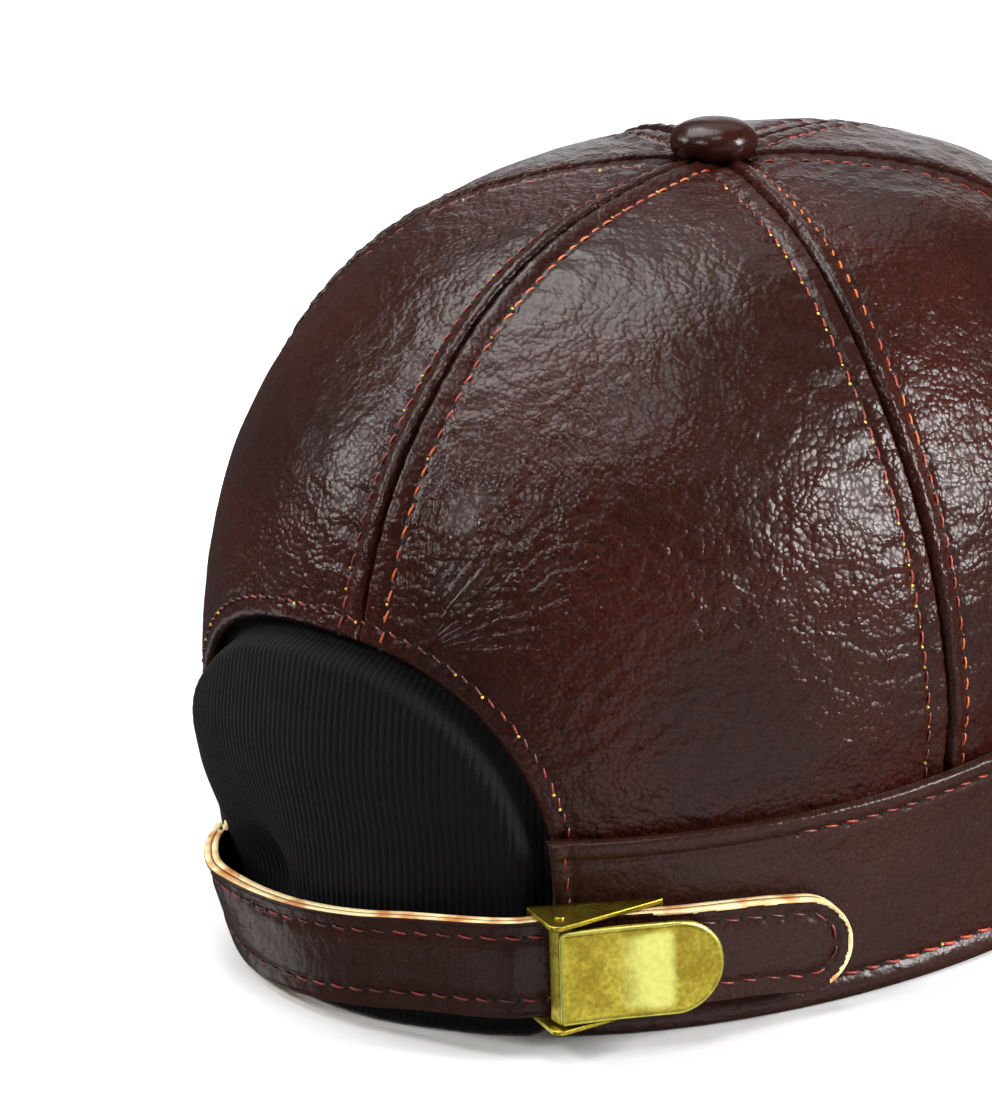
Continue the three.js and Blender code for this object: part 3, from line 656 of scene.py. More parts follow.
def glazed_leather(name, tones, gloss, grain_depth, grain_size, folded=False):
    """Full-grain cowhide, drum dyed and glazed: pebbled grain with shade painted darker in its valleys, soft
    swells and a broad shine.

    The depth and the size of the grain are in millimetres, about 1 across on a real hide.
    """
    material, tree, shader, place = new_material(name)
    dark, middle, red = (colour(tone) for tone in tones)
    drift = add_node(tree, "TexNoise", "Color", {"Vector": place, "Scale": per_mm(9), "Detail": 2.0})
    bent = add_node(tree, "VectorMath", 0, {0: drift, 1: (2 * MM,) * 3, 2: place}, operation="MULTIPLY_ADD")
    turned = Vector(GRAIN_WAY).to_track_quat("Z", "Y").to_euler()
    drawn_out = add_node(tree, "Mapping", 0, {"Vector": bent, "Rotation": turned, "Scale": (1.0, 1.0, 1.7)},
                         vector_type="TEXTURE")
    grain = {"Vector": drawn_out, "Scale": per_mm(grain_size), "Randomness": 0.9}
    to_valley = add_node(tree, "TexVoronoi", "Distance", grain, feature="DISTANCE_TO_EDGE")
    from_middle = add_node(tree, "TexVoronoi", "Distance", grain, feature="F1")
    fall = add_node(tree, "Math", 0, {0: from_middle, 1: 2.0}, operation="POWER")
    swell = {"Vector": drawn_out, "Scale": per_mm(grain_size * 3), "Detail": 2.0, "Roughness": 0.35}
    swells = add_node(tree, "TexNoise", "Fac", swell)
    clouds = add_node(tree, "TexNoise", "Fac", {"Vector": place, "Scale": per_mm(34), "Detail": 3.0})
    swollen = add_node(tree, "Math", 0, {0: swells, 1: SWELL_DEPTH * grain_depth}, operation="MULTIPLY")
    relief = add_node(tree, "Math", 0, {0: fall, 1: -PEBBLE_FALL * grain_depth, 2: swollen},
                      operation="MULTIPLY_ADD")
    if folded:
        relief = add_node(tree, "Math", 0, {0: fanned_folds(tree, place), 1: FOLD_DEPTH, 2: relief},
                          operation="MULTIPLY_ADD")
    reddened = add_node(tree, "MapRange", "Result", {"Value": clouds, "From Min": 0.3, "From Max": 0.7},
                        interpolation_type="SMOOTHSTEP")
    dyed = add_node(tree, "Mix", MIXED, {FACTOR: reddened, FIRST: middle, SECOND: red}, data_type="RGBA")
    # Painted shade: the grain's valleys are darkened towards the first tone, as shade falls in them
    valley_shade_range = {"Value": to_valley, "From Min": 0.0, "From Max": 0.16, "To Min": 0.55, "To Max": 0.0}
    valley_shade = add_node(tree, "MapRange", "Result", valley_shade_range, interpolation_type="SMOOTHSTEP")
    base = add_node(tree, "Mix", MIXED, {FACTOR: valley_shade, FIRST: dyed, SECOND: dark}, data_type="RGBA")
    shine = {"Value": swells, "From Min": 0.35, "From Max": 0.65,
             "To Min": gloss + 0.04, "To Max": gloss - 0.03}
    rough = add_node(tree, "MapRange", "Result", shine, interpolation_type="SMOOTHSTEP")
    firm = {"Value": clouds, "From Min": 0.36, "From Max": 0.56, "To Min": 0.55, "To Max": 1.0}
    depth = add_node(tree, "MapRange", "Result", firm, interpolation_type="SMOOTHSTEP")
    bump = add_node(tree, "Bump", "Normal", {"Height": relief, "Distance": MM, "Strength": depth})
    finish(shader,
           {"IOR": 1.45, "Coat Weight": 0.04, "Coat Roughness": 0.14, "Specular IOR Level": 0.22},
           {"Base Color": base, "Roughness": rough, "Normal": bump})
    return material


def flesh_side():
    """The leather's flesh side, split and shaved: dull and slightly fibrous, as inside the cap."""
    material, tree, shader, place = new_material("split_leather_flesh_side")
    fibres = add_node(tree, "TexNoise", "Fac", {"Vector": place, "Scale": per_mm(0.9), "Detail": 4.0})
    tones = {FACTOR: fibres, FIRST: colour("#3a2a22"), SECOND: colour("#5a4334")}
    base = add_node(tree, "Mix", MIXED, tones, data_type="RGBA")
    bump = add_node(tree, "Bump", "Normal", {"Height": fibres, "Distance": 0.1 * MM})
    finish(shader, {"Roughness": 0.9, "IOR": 1.5}, {"Base Color": base, "Normal": bump})
    return material


def raw_edge():
    """Undyed cut edge of chrome-tanned leather: pale fibres with orange dye that bled in from the faces."""
    material, tree, shader, place = new_material("raw_cut_leather_edge")
    streaks = add_node(tree, "TexNoise", "Fac", {"Vector": place, "Scale": per_mm(5), "Detail": 5.0})
    fuzz = add_node(tree, "TexNoise", "Fac", {"Vector": place, "Scale": per_mm(0.35), "Detail": 3.0})
    bled = add_node(tree, "MapRange", "Result", {"Value": streaks, "From Min": 0.38, "From Max": 0.7},
                    interpolation_type="SMOOTHSTEP")
    tones = {FACTOR: bled, FIRST: colour("#f0dca4"), SECOND: colour("#c27a38")}
    base = add_node(tree, "Mix", MIXED, tones, data_type="RGBA")
    bump = add_node(tree, "Bump", "Normal", {"Height": fuzz, "Distance": 0.12 * MM})
    finish(shader, {"Roughness": 0.75, "IOR": 1.5}, {"Base Color": base, "Normal": bump})
    return material


def strap_core():
    """The glued middle of the strap, an orange-brown line between its two pale edges."""
    material, tree, shader, place = new_material("rubber_cement_line")
    patches = add_node(tree, "TexNoise", "Fac", {"Vector": place, "Scale": per_mm(4), "Detail": 2.0})
    tones = {FACTOR: patches, FIRST: colour("#6b250f"), SECOND: colour("#a8501c")}
    base = add_node(tree, "Mix", MIXED, tones, data_type="RGBA")
    finish(shader, {"Roughness": 0.6}, {"Base Color": base})
    return material


def bonded_thread(name, dull, bright):
    """Bonded polyester thread, three plies twisted: a soft shine and a little change of colour along it."""
    material, tree, shader, place = new_material(name)
    patches = add_node(tree, "TexNoise", "Fac", {"Vector": place, "Scale": per_mm(9), "Detail": 3.0})
    plies = add_node(tree, "TexNoise", "Fac", {"Vector": place, "Scale": per_mm(0.5), "Detail": 1.0})
    worn = add_node(tree, "MapRange", "Result", {"Value": patches, "From Min": 0.4, "From Max": 0.6},
                    interpolation_type="SMOOTHSTEP")
    tones = {FACTOR: worn, FIRST: colour(dull), SECOND: colour(bright)}
    base = add_node(tree, "Mix", MIXED, tones, data_type="RGBA")
    bump = add_node(tree, "Bump", "Normal", {"Height": plies, "Distance": 0.12 * MM})
    finish(shader, {"Roughness": 0.45, "IOR": 1.55}, {"Base Color": base, "Normal": bump})
    return material


def needle_hole():
    """The shadow in a needle's hole: nearly black, with frayed specks of leather."""
    material, tree, shader, place = new_material("needle_hole_shadow")
    specks = add_node(tree, "TexNoise", "Fac", {"Vector": place, "Scale": per_mm(0.6)})
    tones = {FACTOR: specks, FIRST: colour("#0c0605"), SECOND: colour("#050303")}
    base = add_node(tree, "Mix", MIXED, tones, data_type="RGBA")
    finish(shader, {"Roughness": 0.9}, {"Base Color": base})
    return material


def rib_knit():
    """Black cotton and elastane knitted two by one: matt, with a faint sheen along the ribs."""
    material, tree, shader, place = new_material("rib_knitted_cotton")
    # The loops are about 0.5 mm tall; they're drawn at 0.8 mm so that they show
    loop = {"Vector": place, "Scale": per_mm(0.8) / 20, "Distortion": 3.0, "Detail": 2.0, "Detail Scale": 3.0}
    loops = add_node(tree, "TexWave", "Fac", loop, bands_direction="Z")
    fuzz = add_node(tree, "TexNoise", "Fac", {"Vector": place, "Scale": per_mm(0.45), "Detail": 4.0})
    tones = {FACTOR: fuzz, FIRST: colour("#060506"), SECOND: colour("#131112")}
    base = add_node(tree, "Mix", MIXED, tones, data_type="RGBA")
    relief = add_node(tree, "Math", 0, {0: loops, 1: 0.7, 2: fuzz}, operation="MULTIPLY_ADD")
    bump = add_node(tree, "Bump", "Normal", {"Height": relief, "Distance": 0.16 * MM})
    finish(shader, {"Roughness": 0.92, "IOR": 1.45, "Specular IOR Level": 0.2, "Sheen Weight": 0.02},
           {"Base Color": base, "Normal": bump})
    return material


def antique_brass():
    """Stamped brass sheet, darkened and relieved by tumbling: olive patina, with a highlight painted in
    lighter on the lever.

    The attribute it reads is 1 where the highlight is painted, and 0 on pieces without it.
    """
    material, tree, shader, place = new_material("antiqued_stamped_brass")
    cloud = {"Vector": place, "Scale": per_mm(6), "Detail": 5.0, "Roughness": 0.65}
    clouds = add_node(tree, "TexNoise", "Fac", cloud)
    specks = add_node(tree, "TexNoise", "Fac", {"Vector": place, "Scale": per_mm(0.8), "Detail": 3.0})
    # the share of the lever's painted highlight
    highlight_share = add_node(tree, "Attribute", "Fac", {}, attribute_name="painted_highlight")
    mottled = add_node(tree, "Math", 0, {0: specks, 1: 0.45, 2: clouds}, operation="MULTIPLY_ADD")
    patina = add_node(tree, "MapRange", "Result", {"Value": mottled, "From Min": 0.4, "From Max": 0.9},
                      interpolation_type="SMOOTHSTEP")
    tones = {FACTOR: patina, FIRST: colour("#d2c24b"), SECOND: colour("#9a862c")}
    aged = add_node(tree, "Mix", MIXED, tones, data_type="RGBA")
    # Painted highlight: the brass turns pale where the attribute marks it, broken up by the clouds
    uneven = add_node(tree, "Math", 0, {0: clouds, 1: -0.45, 2: highlight_share}, operation="MULTIPLY_ADD")
    bright = add_node(tree, "MapRange", "Result", {"Value": uneven, "From Min": 0.0, "From Max": 0.8},
                      interpolation_type="SMOOTHSTEP")
    # the painted highlight's pale yellow
    tones = {FACTOR: bright, FIRST: aged, SECOND: colour("#ebe87e")}
    base = add_node(tree, "Mix", MIXED, tones, data_type="RGBA")
    shine = {"Value": specks, "From Min": 0.3, "From Max": 0.7, "To Min": 0.3, "To Max": 0.42}
    rough = add_node(tree, "MapRange", "Result", shine, interpolation_type="SMOOTHSTEP")
    bump = add_node(tree, "Bump", "Normal", {"Height": specks, "Distance": 0.025 * MM})
    finish(shader, {"Metallic": 1.0}, {"Base Color": base, "Roughness": rough, "Normal": bump})
    return material


# Each leather's tones: the painted shade in the grain's valleys, the middle dye and the redder clouds
CROWN_TONES = ("#110504", "#26100b", "#34130c")
CROWN_LEATHER = glazed_leather("glazed_full_grain_leather", CROWN_TONES, 0.29, 0.15, 1.05, folded=True)
BAND_LEATHER = glazed_leather("glazed_band_leather", ("#150a08", "#2b1610", "#331a13"), 0.32, 0.08, 1.0)
BUTTON_LEATHER = glazed_leather("glazed_button_leather", ("#110504", "#26100b", "#30130d"), 0.25, 0.025, 0.8)
FLESH = flesh_side()
RAW_EDGE = raw_edge()
CORE = strap_core()
RED_THREAD = bonded_thread("bonded_thread_red", "#5c180e", "#8f2d17")
DARK_THREAD = bonded_thread("bonded_thread_dark_red", "#46120c", "#7c2112")
ORANGE_RED_THREAD = bonded_thread("bonded_thread_orange_red", "#6b2012", "#a83a1c")
ORANGE_THREAD = bonded_thread("bonded_thread_orange", "#8f3014", "#c46124")
YELLOW_THREAD = bonded_thread("bonded_thread_yellow", "#b9801c", "#e8c052")
# the painted shadow in the needle holes
HOLE_SHADOW = needle_hole()
KNIT = rib_knit()
BRASS = antique_brass()


# Stitches

def even_row(points, pitch):
    """The start of each stitch along a line of points, and the line's lengths."""
    lengths = lengths_along(points)
    count = max(int(round(lengths[-1] / pitch)), 1)
    return np.arange(count) * lengths[-1] / count, lengths


def at_lengths(values, lengths, places):
    """Values along a line, at lengths from its start."""
    return np.stack([np.interp(places, lengths, values[:, k]) for k in range(3)], -1)


SIDES_OF_THREAD = 6
RINGS_OF_STITCH = 6
STITCH_SINK = 0.5         # how deep a stitch's ends go into the leather
STITCH_SLANT = 0.6        # and how far it turns away from its row
HOLE_PROUD = 0.06
SPECK_RADIUS = 0.3
SPECK_PROUD = 0.25
SPECK_LIFT = 0.55


def stitch_row(points, normals, pitch, bright=0.0, seed=0, thread=THREAD_RADIUS):
    """A row of stitches along a line on the leather, with the shadows in its needle holes painted as dark
    discs.

    bright is the share of stitches whose ends show the yellow thread of the other side.
    Returns points, faces and looks: 0 thread, 1 painted shadow of a needle hole, 2 yellow thread.
    """
    starts, lengths = even_row(points, pitch)
    step = lengths[-1] / len(starts)
    share = np.linspace(0, 1, RINGS_OF_STITCH)
    places = starts[:, None] + STITCH_GAP / 2 + share * (step - STITCH_GAP)
    middle = at_lengths(points, lengths, places)
    normal = unit(at_lengths(normals, lengths, places))
    ahead = unit(at_lengths(points, lengths, places + 0.3) - at_lengths(points, lengths, places - 0.3))
    side = np.cross(ahead, normal)
    arch = np.sin(math.pi * share) ** 0.55
    rise = mix(-STITCH_SINK, thread * 0.75, arch)
    slant = (share - 0.5) * STITCH_SLANT
    middle = middle + normal * rise[None, :, None] + side * slant[None, :, None]
    turn = np.arange(SIDES_OF_THREAD) * 2 * math.pi / SIDES_OF_THREAD
    radius = thread * mix(0.6, 1.0, arch)
    ring = normal[:, :, None, :] * np.cos(turn)[None, None, :, None] * 0.9
    ring = ring + side[:, :, None, :] * np.sin(turn)[None, None, :, None] * 1.05
    tube = middle[:, :, None, :] + ring * radius[None, :, None, None]
    count = len(starts)
    per_stitch = RINGS_OF_STITCH * SIDES_OF_THREAD
    index = np.arange(per_stitch).reshape(RINGS_OF_STITCH, SIDES_OF_THREAD)
    following = np.roll(index, -1, axis=1)
    quads = np.stack([index[:-1], following[:-1], following[1:], index[1:]], -1).reshape(-1, 4)
    faces = (quads[None] + np.arange(count)[:, None, None] * per_stitch).reshape(-1, 4)
    # dark discs painted as the shadows in the needle holes
    hole_shadow_points, hole_shadow_faces = hole_shadows(points, normals, lengths, starts)
    specks = np.random.default_rng(seed).random(count) < bright
    speck_points, speck_faces = specks_at(middle[specks, 0], normal[specks, 0])
    all_points = [tube.reshape(-1, 3), hole_shadow_points, speck_points]
    offsets = np.cumsum([0] + [len(p) for p in all_points])
    all_faces = [faces, hole_shadow_faces + offsets[1], speck_faces + offsets[2]]
    looks = np.repeat([0, 1, 2], [len(faces) for faces in all_faces])
    return np.concatenate(all_points), np.concatenate(all_faces), looks


def beads(centres, normals, across, proud, sides=8):
    """Low round beads, each as a ring of wedge faces round its top."""
    if len(centres) == 0:
        return np.zeros((0, 3)), np.zeros((0, 4), int)
    helper = np.where(np.abs(normals[:, 2:3]) < 0.9, [[0.0, 0.0, 1.0]], [[1.0, 0.0, 0.0]])
    first = unit(np.cross(normals, helper))
    second = np.cross(normals, first)
    turn = np.arange(sides) * 2 * math.pi / sides
    ways = first[:, None] * np.cos(turn)[None, :, None] + second[:, None] * np.sin(turn)[None, :, None]
    rim = centres[:, None] + across * ways
    shoulder = mix(centres[:, None], rim, 0.65) + normals[:, None] * proud * 0.8
    top = (centres + normals * proud)[:, None]
    below = rim - normals[:, None] * 0.25
    points = np.concatenate([below, rim, shoulder, top], axis=1)
    per_bead = 3 * sides + 1
    k = np.arange(sides)
    after = (k + 1) % sides
    faces = np.concatenate([
        np.stack([k, after, after + sides, k + sides], -1),
        np.stack([k + sides, after + sides, after + 2 * sides, k + 2 * sides], -1),
    ])
    caps = np.stack([k[::2] + 2 * sides, k[::2] + 1 + 2 * sides, (k[::2] + 2) % sides + 2 * sides,
                     np.full(sides // 2, 3 * sides)], -1)
    faces = np.concatenate([faces, caps])
    faces = (faces[None] + np.arange(len(centres))[:, None, None] * per_bead).reshape(-1, 4)
    return points.reshape(-1, 3), faces


def hole_shadows(points, normals, lengths, starts):
    """The painted shadows in the needle holes between stitches: low dark discs on the leather."""
    centres = at_lengths(points, lengths, starts)
    return beads(centres, unit(at_lengths(normals, lengths, starts)), HOLE_RADIUS, HOLE_PROUD)


def specks_at(centres, normals):
    """Knots of the yellow thread from the other side, pulled up at a hole."""
    return beads(centres + normals * SPECK_LIFT, normals, SPECK_RADIUS, SPECK_PROUD)


def joined(parts):
    """Several (points, faces, looks) as one."""
    offsets = np.cumsum([0] + [len(p[0]) for p in parts])
    points = np.concatenate([p[0] for p in parts])
    faces = np.concatenate([p[1] + offset for p, offset in zip(parts, offsets)])
    looks = np.concatenate([p[2] for p in parts])
    return points, faces, looks


def stitches(name, rows, thread, slot):
    """All rows of one seam or edge as one piece."""
    points, faces, looks = joined(rows)
    piece = add_piece(name, points, faces, [thread, HOLE_SHADOW, YELLOW_THREAD], looks)
    return on_cap(piece, slot)


# Crown panels

TOP_PLACE = 10.85         # the panels end here, under the button
ARC_ANGLE = 60
ARCS = lengths_along(crown_point(np.full(PLACES.shape, ARC_ANGLE), PLACES))   # from the foot, at PLACES


def beside_seam(distance, roll=FULL_ROLL):
    """The leather's relief beside a seam: the groove, the padded roll and the dip of the stitches."""
    return (
        roll * mound(distance, ROLL_MIDDLE, ROLL_WIDTH)
        - GROOVE_DEPTH * mound(distance, 0, GROOVE_WIDTH)
        - ROW_DIP * mound(distance, SEAM_ROW, ROW_DIP_WIDTH)
    )


PUCKER_DEPTH = 0.32
LONG_PUCKER = 6.3
SHORT_PUCKER = 2.9


def puckers(distance, along, seed):
    """Small ripples across a seam, drawn up by its stitches."""
    ripple = np.sin(along * 2 * math.pi / LONG_PUCKER + 2.1 * np.sin(along / 17 + seed)) * 0.5
    ripple = ripple + np.sin(along * 2 * math.pi / SHORT_PUCKER + 1.7 * np.sin(along / 11 + 2 * seed)) * 0.5
    beside = mound(distance, SEAM_ROW + 2, 4) + 0.5 * mound(distance, ROLL_MIDDLE, 1.6)
    return PUCKER_DEPTH * ripple * beside


WRINKLE_MIDDLE = (-46, 62)        # x and z of the wrinkles beside the opening
WRINKLE_WAY = (-0.82, 0.57)
WRINKLE_PITCH = 3.1
WRINKLE_DEPTH = 0.75
WRINKLE_LENGTH = 17
WRINKLE_SPREAD = 13


def wrinkles(points):
    """Creases that run up and out from the opening's edge."""
    x = points[..., 0] - WRINKLE_MIDDLE[0]
    z = points[..., 2] - WRINKLE_MIDDLE[1]
    along = x * WRINKLE_WAY[0] + z * WRINKLE_WAY[1]
    across = -x * WRINKLE_WAY[1] + z * WRINKLE_WAY[0]
    sway = 1.6 * lumps(points, 16, 3.1) + 0.5 * lumps(points, 5, 8.2)
    wave = np.abs(np.sin(math.pi * (across + 2 * sway) / WRINKLE_PITCH)) ** 0.8
    here = mound(along, 0, WRINKLE_LENGTH) * mound(across, 0, WRINKLE_SPREAD)
    patch = smooth(lumps(points, 9, 5.5), -0.35, 0.3)
    return here * patch * (wave - 0.6) * WRINKLE_DEPTH


HEM_ROLL = 0.5            # how far the turned hem swells, and how deep its stitches draw it in
HEM_DIP = 0.6


def panel_relief(points, angle, height, first, second, to_arch):
    """How far a panel's outer face stands off the plain crown."""
    arc = np.interp(place_at(height), PLACES, ARCS)
    nearest = np.minimum(first, second)
    free = smooth(nearest, 4, 22) * smooth(to_arch, 5, 20)
    broad = 1.1 * lumps(points, 42, 1.7) + 0.4 * lumps(points, 17, 4.4) + 0.14 * lumps(points, 7, 2.8)
    out = beside_seam(first) + beside_seam(second, FLAT_ROLL)
    out = out + puckers(first, arc, 1.0) + puckers(second, arc, 2.0)
    out = out + free * broad + wrinkles(points) * smooth(to_arch, 2, 6)
    hem = HEM_ROLL * mound(to_arch, 0.9, 1.2) - HEM_DIP * mound(to_arch, HEM_ROW - HEM_ROUND, ROW_DIP_WIDTH)
    flatter = smooth(to_arch, 0.5, 5)
    return out * flatter + hem - panel_tuck(angle, height)


SIDE_PANEL_WIDTH = 96
WIDE_PANEL_WIDTH = 118
BACK_SPACING = 1.15       # between a panel's nodes: across the back panels and the others, at seams, and up
FRONT_SPACING = 1.5
SEAM_SPACING = 0.36
ROW_SPACING = 1.25
SEAM_HALF_GAP = 0.07


def panel_grid(side, first_seam, second_seam, coarse):
    """The angles and places of a panel's nodes."""
    widest = SIDE_PANEL_WIDTH if first_seam == 1 else WIDE_PANEL_WIDTH
    across = stations(widest, coarse, SEAM_SPACING, 6)
    across = across / across[-1]
    rows = np.linspace(0, 1, int(ARCS[-1] / ROW_SPACING))
    angle = np.zeros((len(rows), len(across)))
    place = np.zeros_like(angle)
    for _ in range(6):
        height = height_at(place)
        radius = np.maximum(crown_radius(angle, place), 3)
        gap = np.degrees(SEAM_HALF_GAP / radius)
        start, end = (seam_angle(seam, height) for seam in (first_seam, second_seam))
        angle = mix(start + gap, end - gap, across[None, :])
        foot = np.interp(place_at(rim_lift(angle) + PANEL_FOOT), PLACES, ARCS)
        top = np.interp(TOP_PLACE, PLACES, ARCS)
        place = np.interp(mix(foot, top, rows[:, None]), ARCS, PLACES)
    return side * angle, place


def grown(mask):
    """A mask with its eight neighbours."""
    wide = np.pad(mask, 1)
    rows, columns = mask.shape
    return np.any([wide[i:i + rows, j:j + columns] for i in range(3) for j in range(3)], axis=0)


def neighbours_mean(values):
    """The mean of each node's four neighbours."""
    wide = np.pad(values, 1, mode="edge")
    return (wide[:-2, 1:-1] + wide[2:, 1:-1] + wide[1:-1, :-2] + wide[1:-1, 2:]) / 4


def cut_at_arch(angle, place):
    """Fits a panel's nodes to the opening's edge.

    Returns angles and places, and which nodes are inside the opening and on its edge.
    """
    points = crown_point(angle, place)
    inside = arch_value(points[..., 0], points[..., 2], HEM_ROUND) < 1
    edge = grown(inside) & ~inside
    x, z = arch_edge(HEM_ROUND)
    gaps = np.hypot(points[edge][:, None, 0] - x, points[edge][:, None, 2] - z)
    nearest = gaps.argmin(1)
    edge_places = place_at(np.maximum(z[nearest], 0))
    place[edge] = edge_places
    angle[edge] = angle_at_x(x[nearest], edge_places)
    near = edge
    for _ in range(5):
        near = grown(near)
    free = near & ~inside & ~edge
    free[:, [0, 1, -2, -1]] = False
    free[[0, -1], :] = False
    for _ in range(6):
        angle = np.where(free, mix(angle, neighbours_mean(angle), 0.5), angle)
        place = np.where(free, mix(place, neighbours_mean(place), 0.5), place)
    return angle, place, inside, edge


def hem_rings(nodes, angle, place, out):
    """The turned hem as rings of points, for the nodes on the opening's edge."""
    a, p = angle[nodes], place[nodes]
    base = crown_point(a, p)
    normal = crown_normal(a, p)
    edge_angle, edge_place = arch_on_crown(HEM_ROUND)
    line = crown_point(edge_angle, edge_place)
    way = np.gradient(line, axis=0)
    nearest = np.linalg.norm(base[:, None] - line[None], axis=2).argmin(1)
    inward = unit(np.cross(way[nearest], normal))
    centre = np.array([ARCH_MIDDLE, HALF_LENGTH, ARCH_SPRING])
    inward *= np.sign(((centre - base) * inward).sum(1))[:, None]
    rings = []
    for turn in np.radians(np.arange(25, 180, 25)):
        fall = HEM_ROUND * (1 - math.cos(turn))
        reach = HEM_ROUND * math.sin(turn)
        rings.append(base + normal * (out[nodes] - fall)[:, None] + inward * reach)
    return rings


def seam_distance(angle, place, seam, side):
    """How far a point is from a seam, in millimetres along the leather."""
    gap = np.radians(np.abs(side * angle - seam_angle(seam, height_at(place))))
    return gap * crown_radius(angle, place)


ARCH_LINE = crown_point(*arch_on_crown(HEM_ROUND))


def panel(name, side, first_seam, second_seam):
    """One of the six panels."""
    at_back = first_seam == 0
    angle, place = panel_grid(side, first_seam, second_seam, BACK_SPACING if at_back else FRONT_SPACING)
    shape = angle.shape
    inside = np.zeros(shape, bool)
    edge = np.zeros(shape, bool)
    if at_back:
        angle, place, inside, edge = cut_at_arch(angle, place)
    points = crown_point(angle, place)
    to_arch = distance_to_line(points, ARCH_LINE) if at_back else np.full(shape, 99.0)
    first = seam_distance(angle, place, first_seam, side)
    second = seam_distance(angle, place, second_seam, side)
    height = height_at(place)
    out = panel_relief(points, angle, height, first, second, to_arch)
    outer = crown_offset(angle, place, out).reshape(-1, 3)
    thickness = np.where(to_arch < 4, 2 * HEM_ROUND, PANEL_THICKNESS)
    seam_fall = GROOVE_DEPTH * (mound(first, 0, GROOVE_WIDTH) + mound(second, 0, GROOVE_WIDTH))
    behind = -panel_tuck(angle, height) - thickness - 0.5 * seam_fall
    inner = crown_offset(angle, place, behind).reshape(-1, 3)
    quads = grid_quads(*shape)
    keep = ~inside.ravel()[quads].any(1) & ~edge.ravel()[quads].all(1)
    rings = []
    if at_back:
        nodes = np.flatnonzero(edge.ravel())
        ring_points = hem_rings(nodes, angle.ravel(), place.ravel(), out.ravel())
        rings = [(nodes, ring) for ring in ring_points]
    made, faces, looks = closed_sheet(outer, inner, quads[keep], rings)
    looks = np.where(looks == 1, 1, 0)
    return on_cap(add_piece(name, made, faces, [CROWN_LEATHER, FLESH], looks), "crown_leather", name)


PANEL_SEAMS = (("back", 0, 1), ("side", 1, 2), ("front", 2, 3))


def crown_panels():
    """The six panels."""
    for side_name, side in (("right", -1), ("left", 1)):
        for place_name, first_seam, second_seam in PANEL_SEAMS:
            panel(f"panel_{place_name}_{side_name}", side, first_seam, second_seam)


ROW_TOP_RADIUS = 9.6      # rows of stitches end beside the button


def row_beside_seam(seam, side, beside):
    """The line of a row of stitches, SEAM_ROW from a seam, on the side given by beside."""
    places = np.linspace(0, TOP_PLACE, 900)
    height = height_at(places)
    angle = side * seam_angle(seam, height)
    radius = crown_radius(angle, places)
    angle = angle + beside * np.degrees(SEAM_ROW / np.maximum(radius, 1))
    points = crown_point(angle, places)
    foot = np.maximum(rim_lift(angle) + PANEL_FOOT, band_top(angle) - 2)
    keep = (radius > ROW_TOP_RADIUS) & (height > foot)
    if seam == 0:
        keep &= arch_value(points[:, 0], points[:, 2], 0.2) > 1
    angle, places, height = angle[keep], places[keep], height[keep]
    out = beside_seam(SEAM_ROW) - panel_tuck(angle, height)
    if seam == 0:
        to_arch = distance_to_line(crown_point(angle, places), ARCH_LINE)
        out = out * smooth(to_arch, 0.5, 5)
    return crown_offset(angle, places, out), crown_normal(angle, places)


def hem_row():
    """The line of stitches round the opening."""
    angle, place = arch_on_crown(HEM_ROW)
    points = crown_point(angle, place)
    keep = points[:, 2] > BAND_HEIGHT - 1
    angle, place = angle[keep], place[keep]
    out = 0.35 - ROW_DIP - panel_tuck(angle, height_at(place))
    return crown_offset(angle, place, out), crown_normal(angle, place)


# Rows of stitches beside the seams: the seam, its side of the cap, the side of the seam, thread and specks
SEAM_ROWS = (
    (0, 1, 1, "red", 0.1),
    (0, 1, -1, "orange", 0.3),
    (1, -1, 1, "red", 0.8),
    (1, -1, -1, "orange", 0.05),
    (2, -1, 1, "red", 0.1),
    (2, -1, -1, "red", 0.2),
    (3, 1, 1, "red", 0.1),
    (3, 1, -1, "red", 0.1),
    (1, 1, 1, "red", 0.15),
    (1, 1, -1, "red", 0.15),
    (2, 1, 1, "red", 0.1),
    (2, 1, -1, "red", 0.1),
)


def crown_stitches():
    """All rows beside the crown's seams, by colour of thread."""
    for shade, thread in (("red", RED_THREAD), ("orange", ORANGE_THREAD)):
        rows = []
        for number, (seam, side, beside, its_shade, bright) in enumerate(SEAM_ROWS):
            if its_shade == shade:
                line, normals = row_beside_seam(seam, side, beside)
                rows.append(stitch_row(line, normals, SEAM_PITCH, bright, number))
        stitches(f"crown_stitches_{shade}", rows, thread, "crown_leather")
    line, normals = hem_row()
    row = stitch_row(line, normals, HEM_PITCH, 0.2, len(SEAM_ROWS))
    stitches("opening_stitches", [row], DARK_THREAD, "crown_leather")


# Band

def end_angle(side, height):
    """The angle of the opening's edge at a height, on one side of the cap."""
    up = np.clip((np.asarray(height, float) - ARCH_SPRING) / ARCH_RISE, 0, 0.999)
    across = (1 - up**ARCH_SQUARENESS) ** (1 / ARCH_SQUARENESS)
    return angle_at_x(ARCH_MIDDLE + side * ARCH_HALF_WIDTH * across, place_at(height))


def band_out(height, top):
    """How far the band's outer face stands off the crown, before its relief."""
    return BAND_FLARE * smooth(height, top - FLARE_HEIGHT, top)


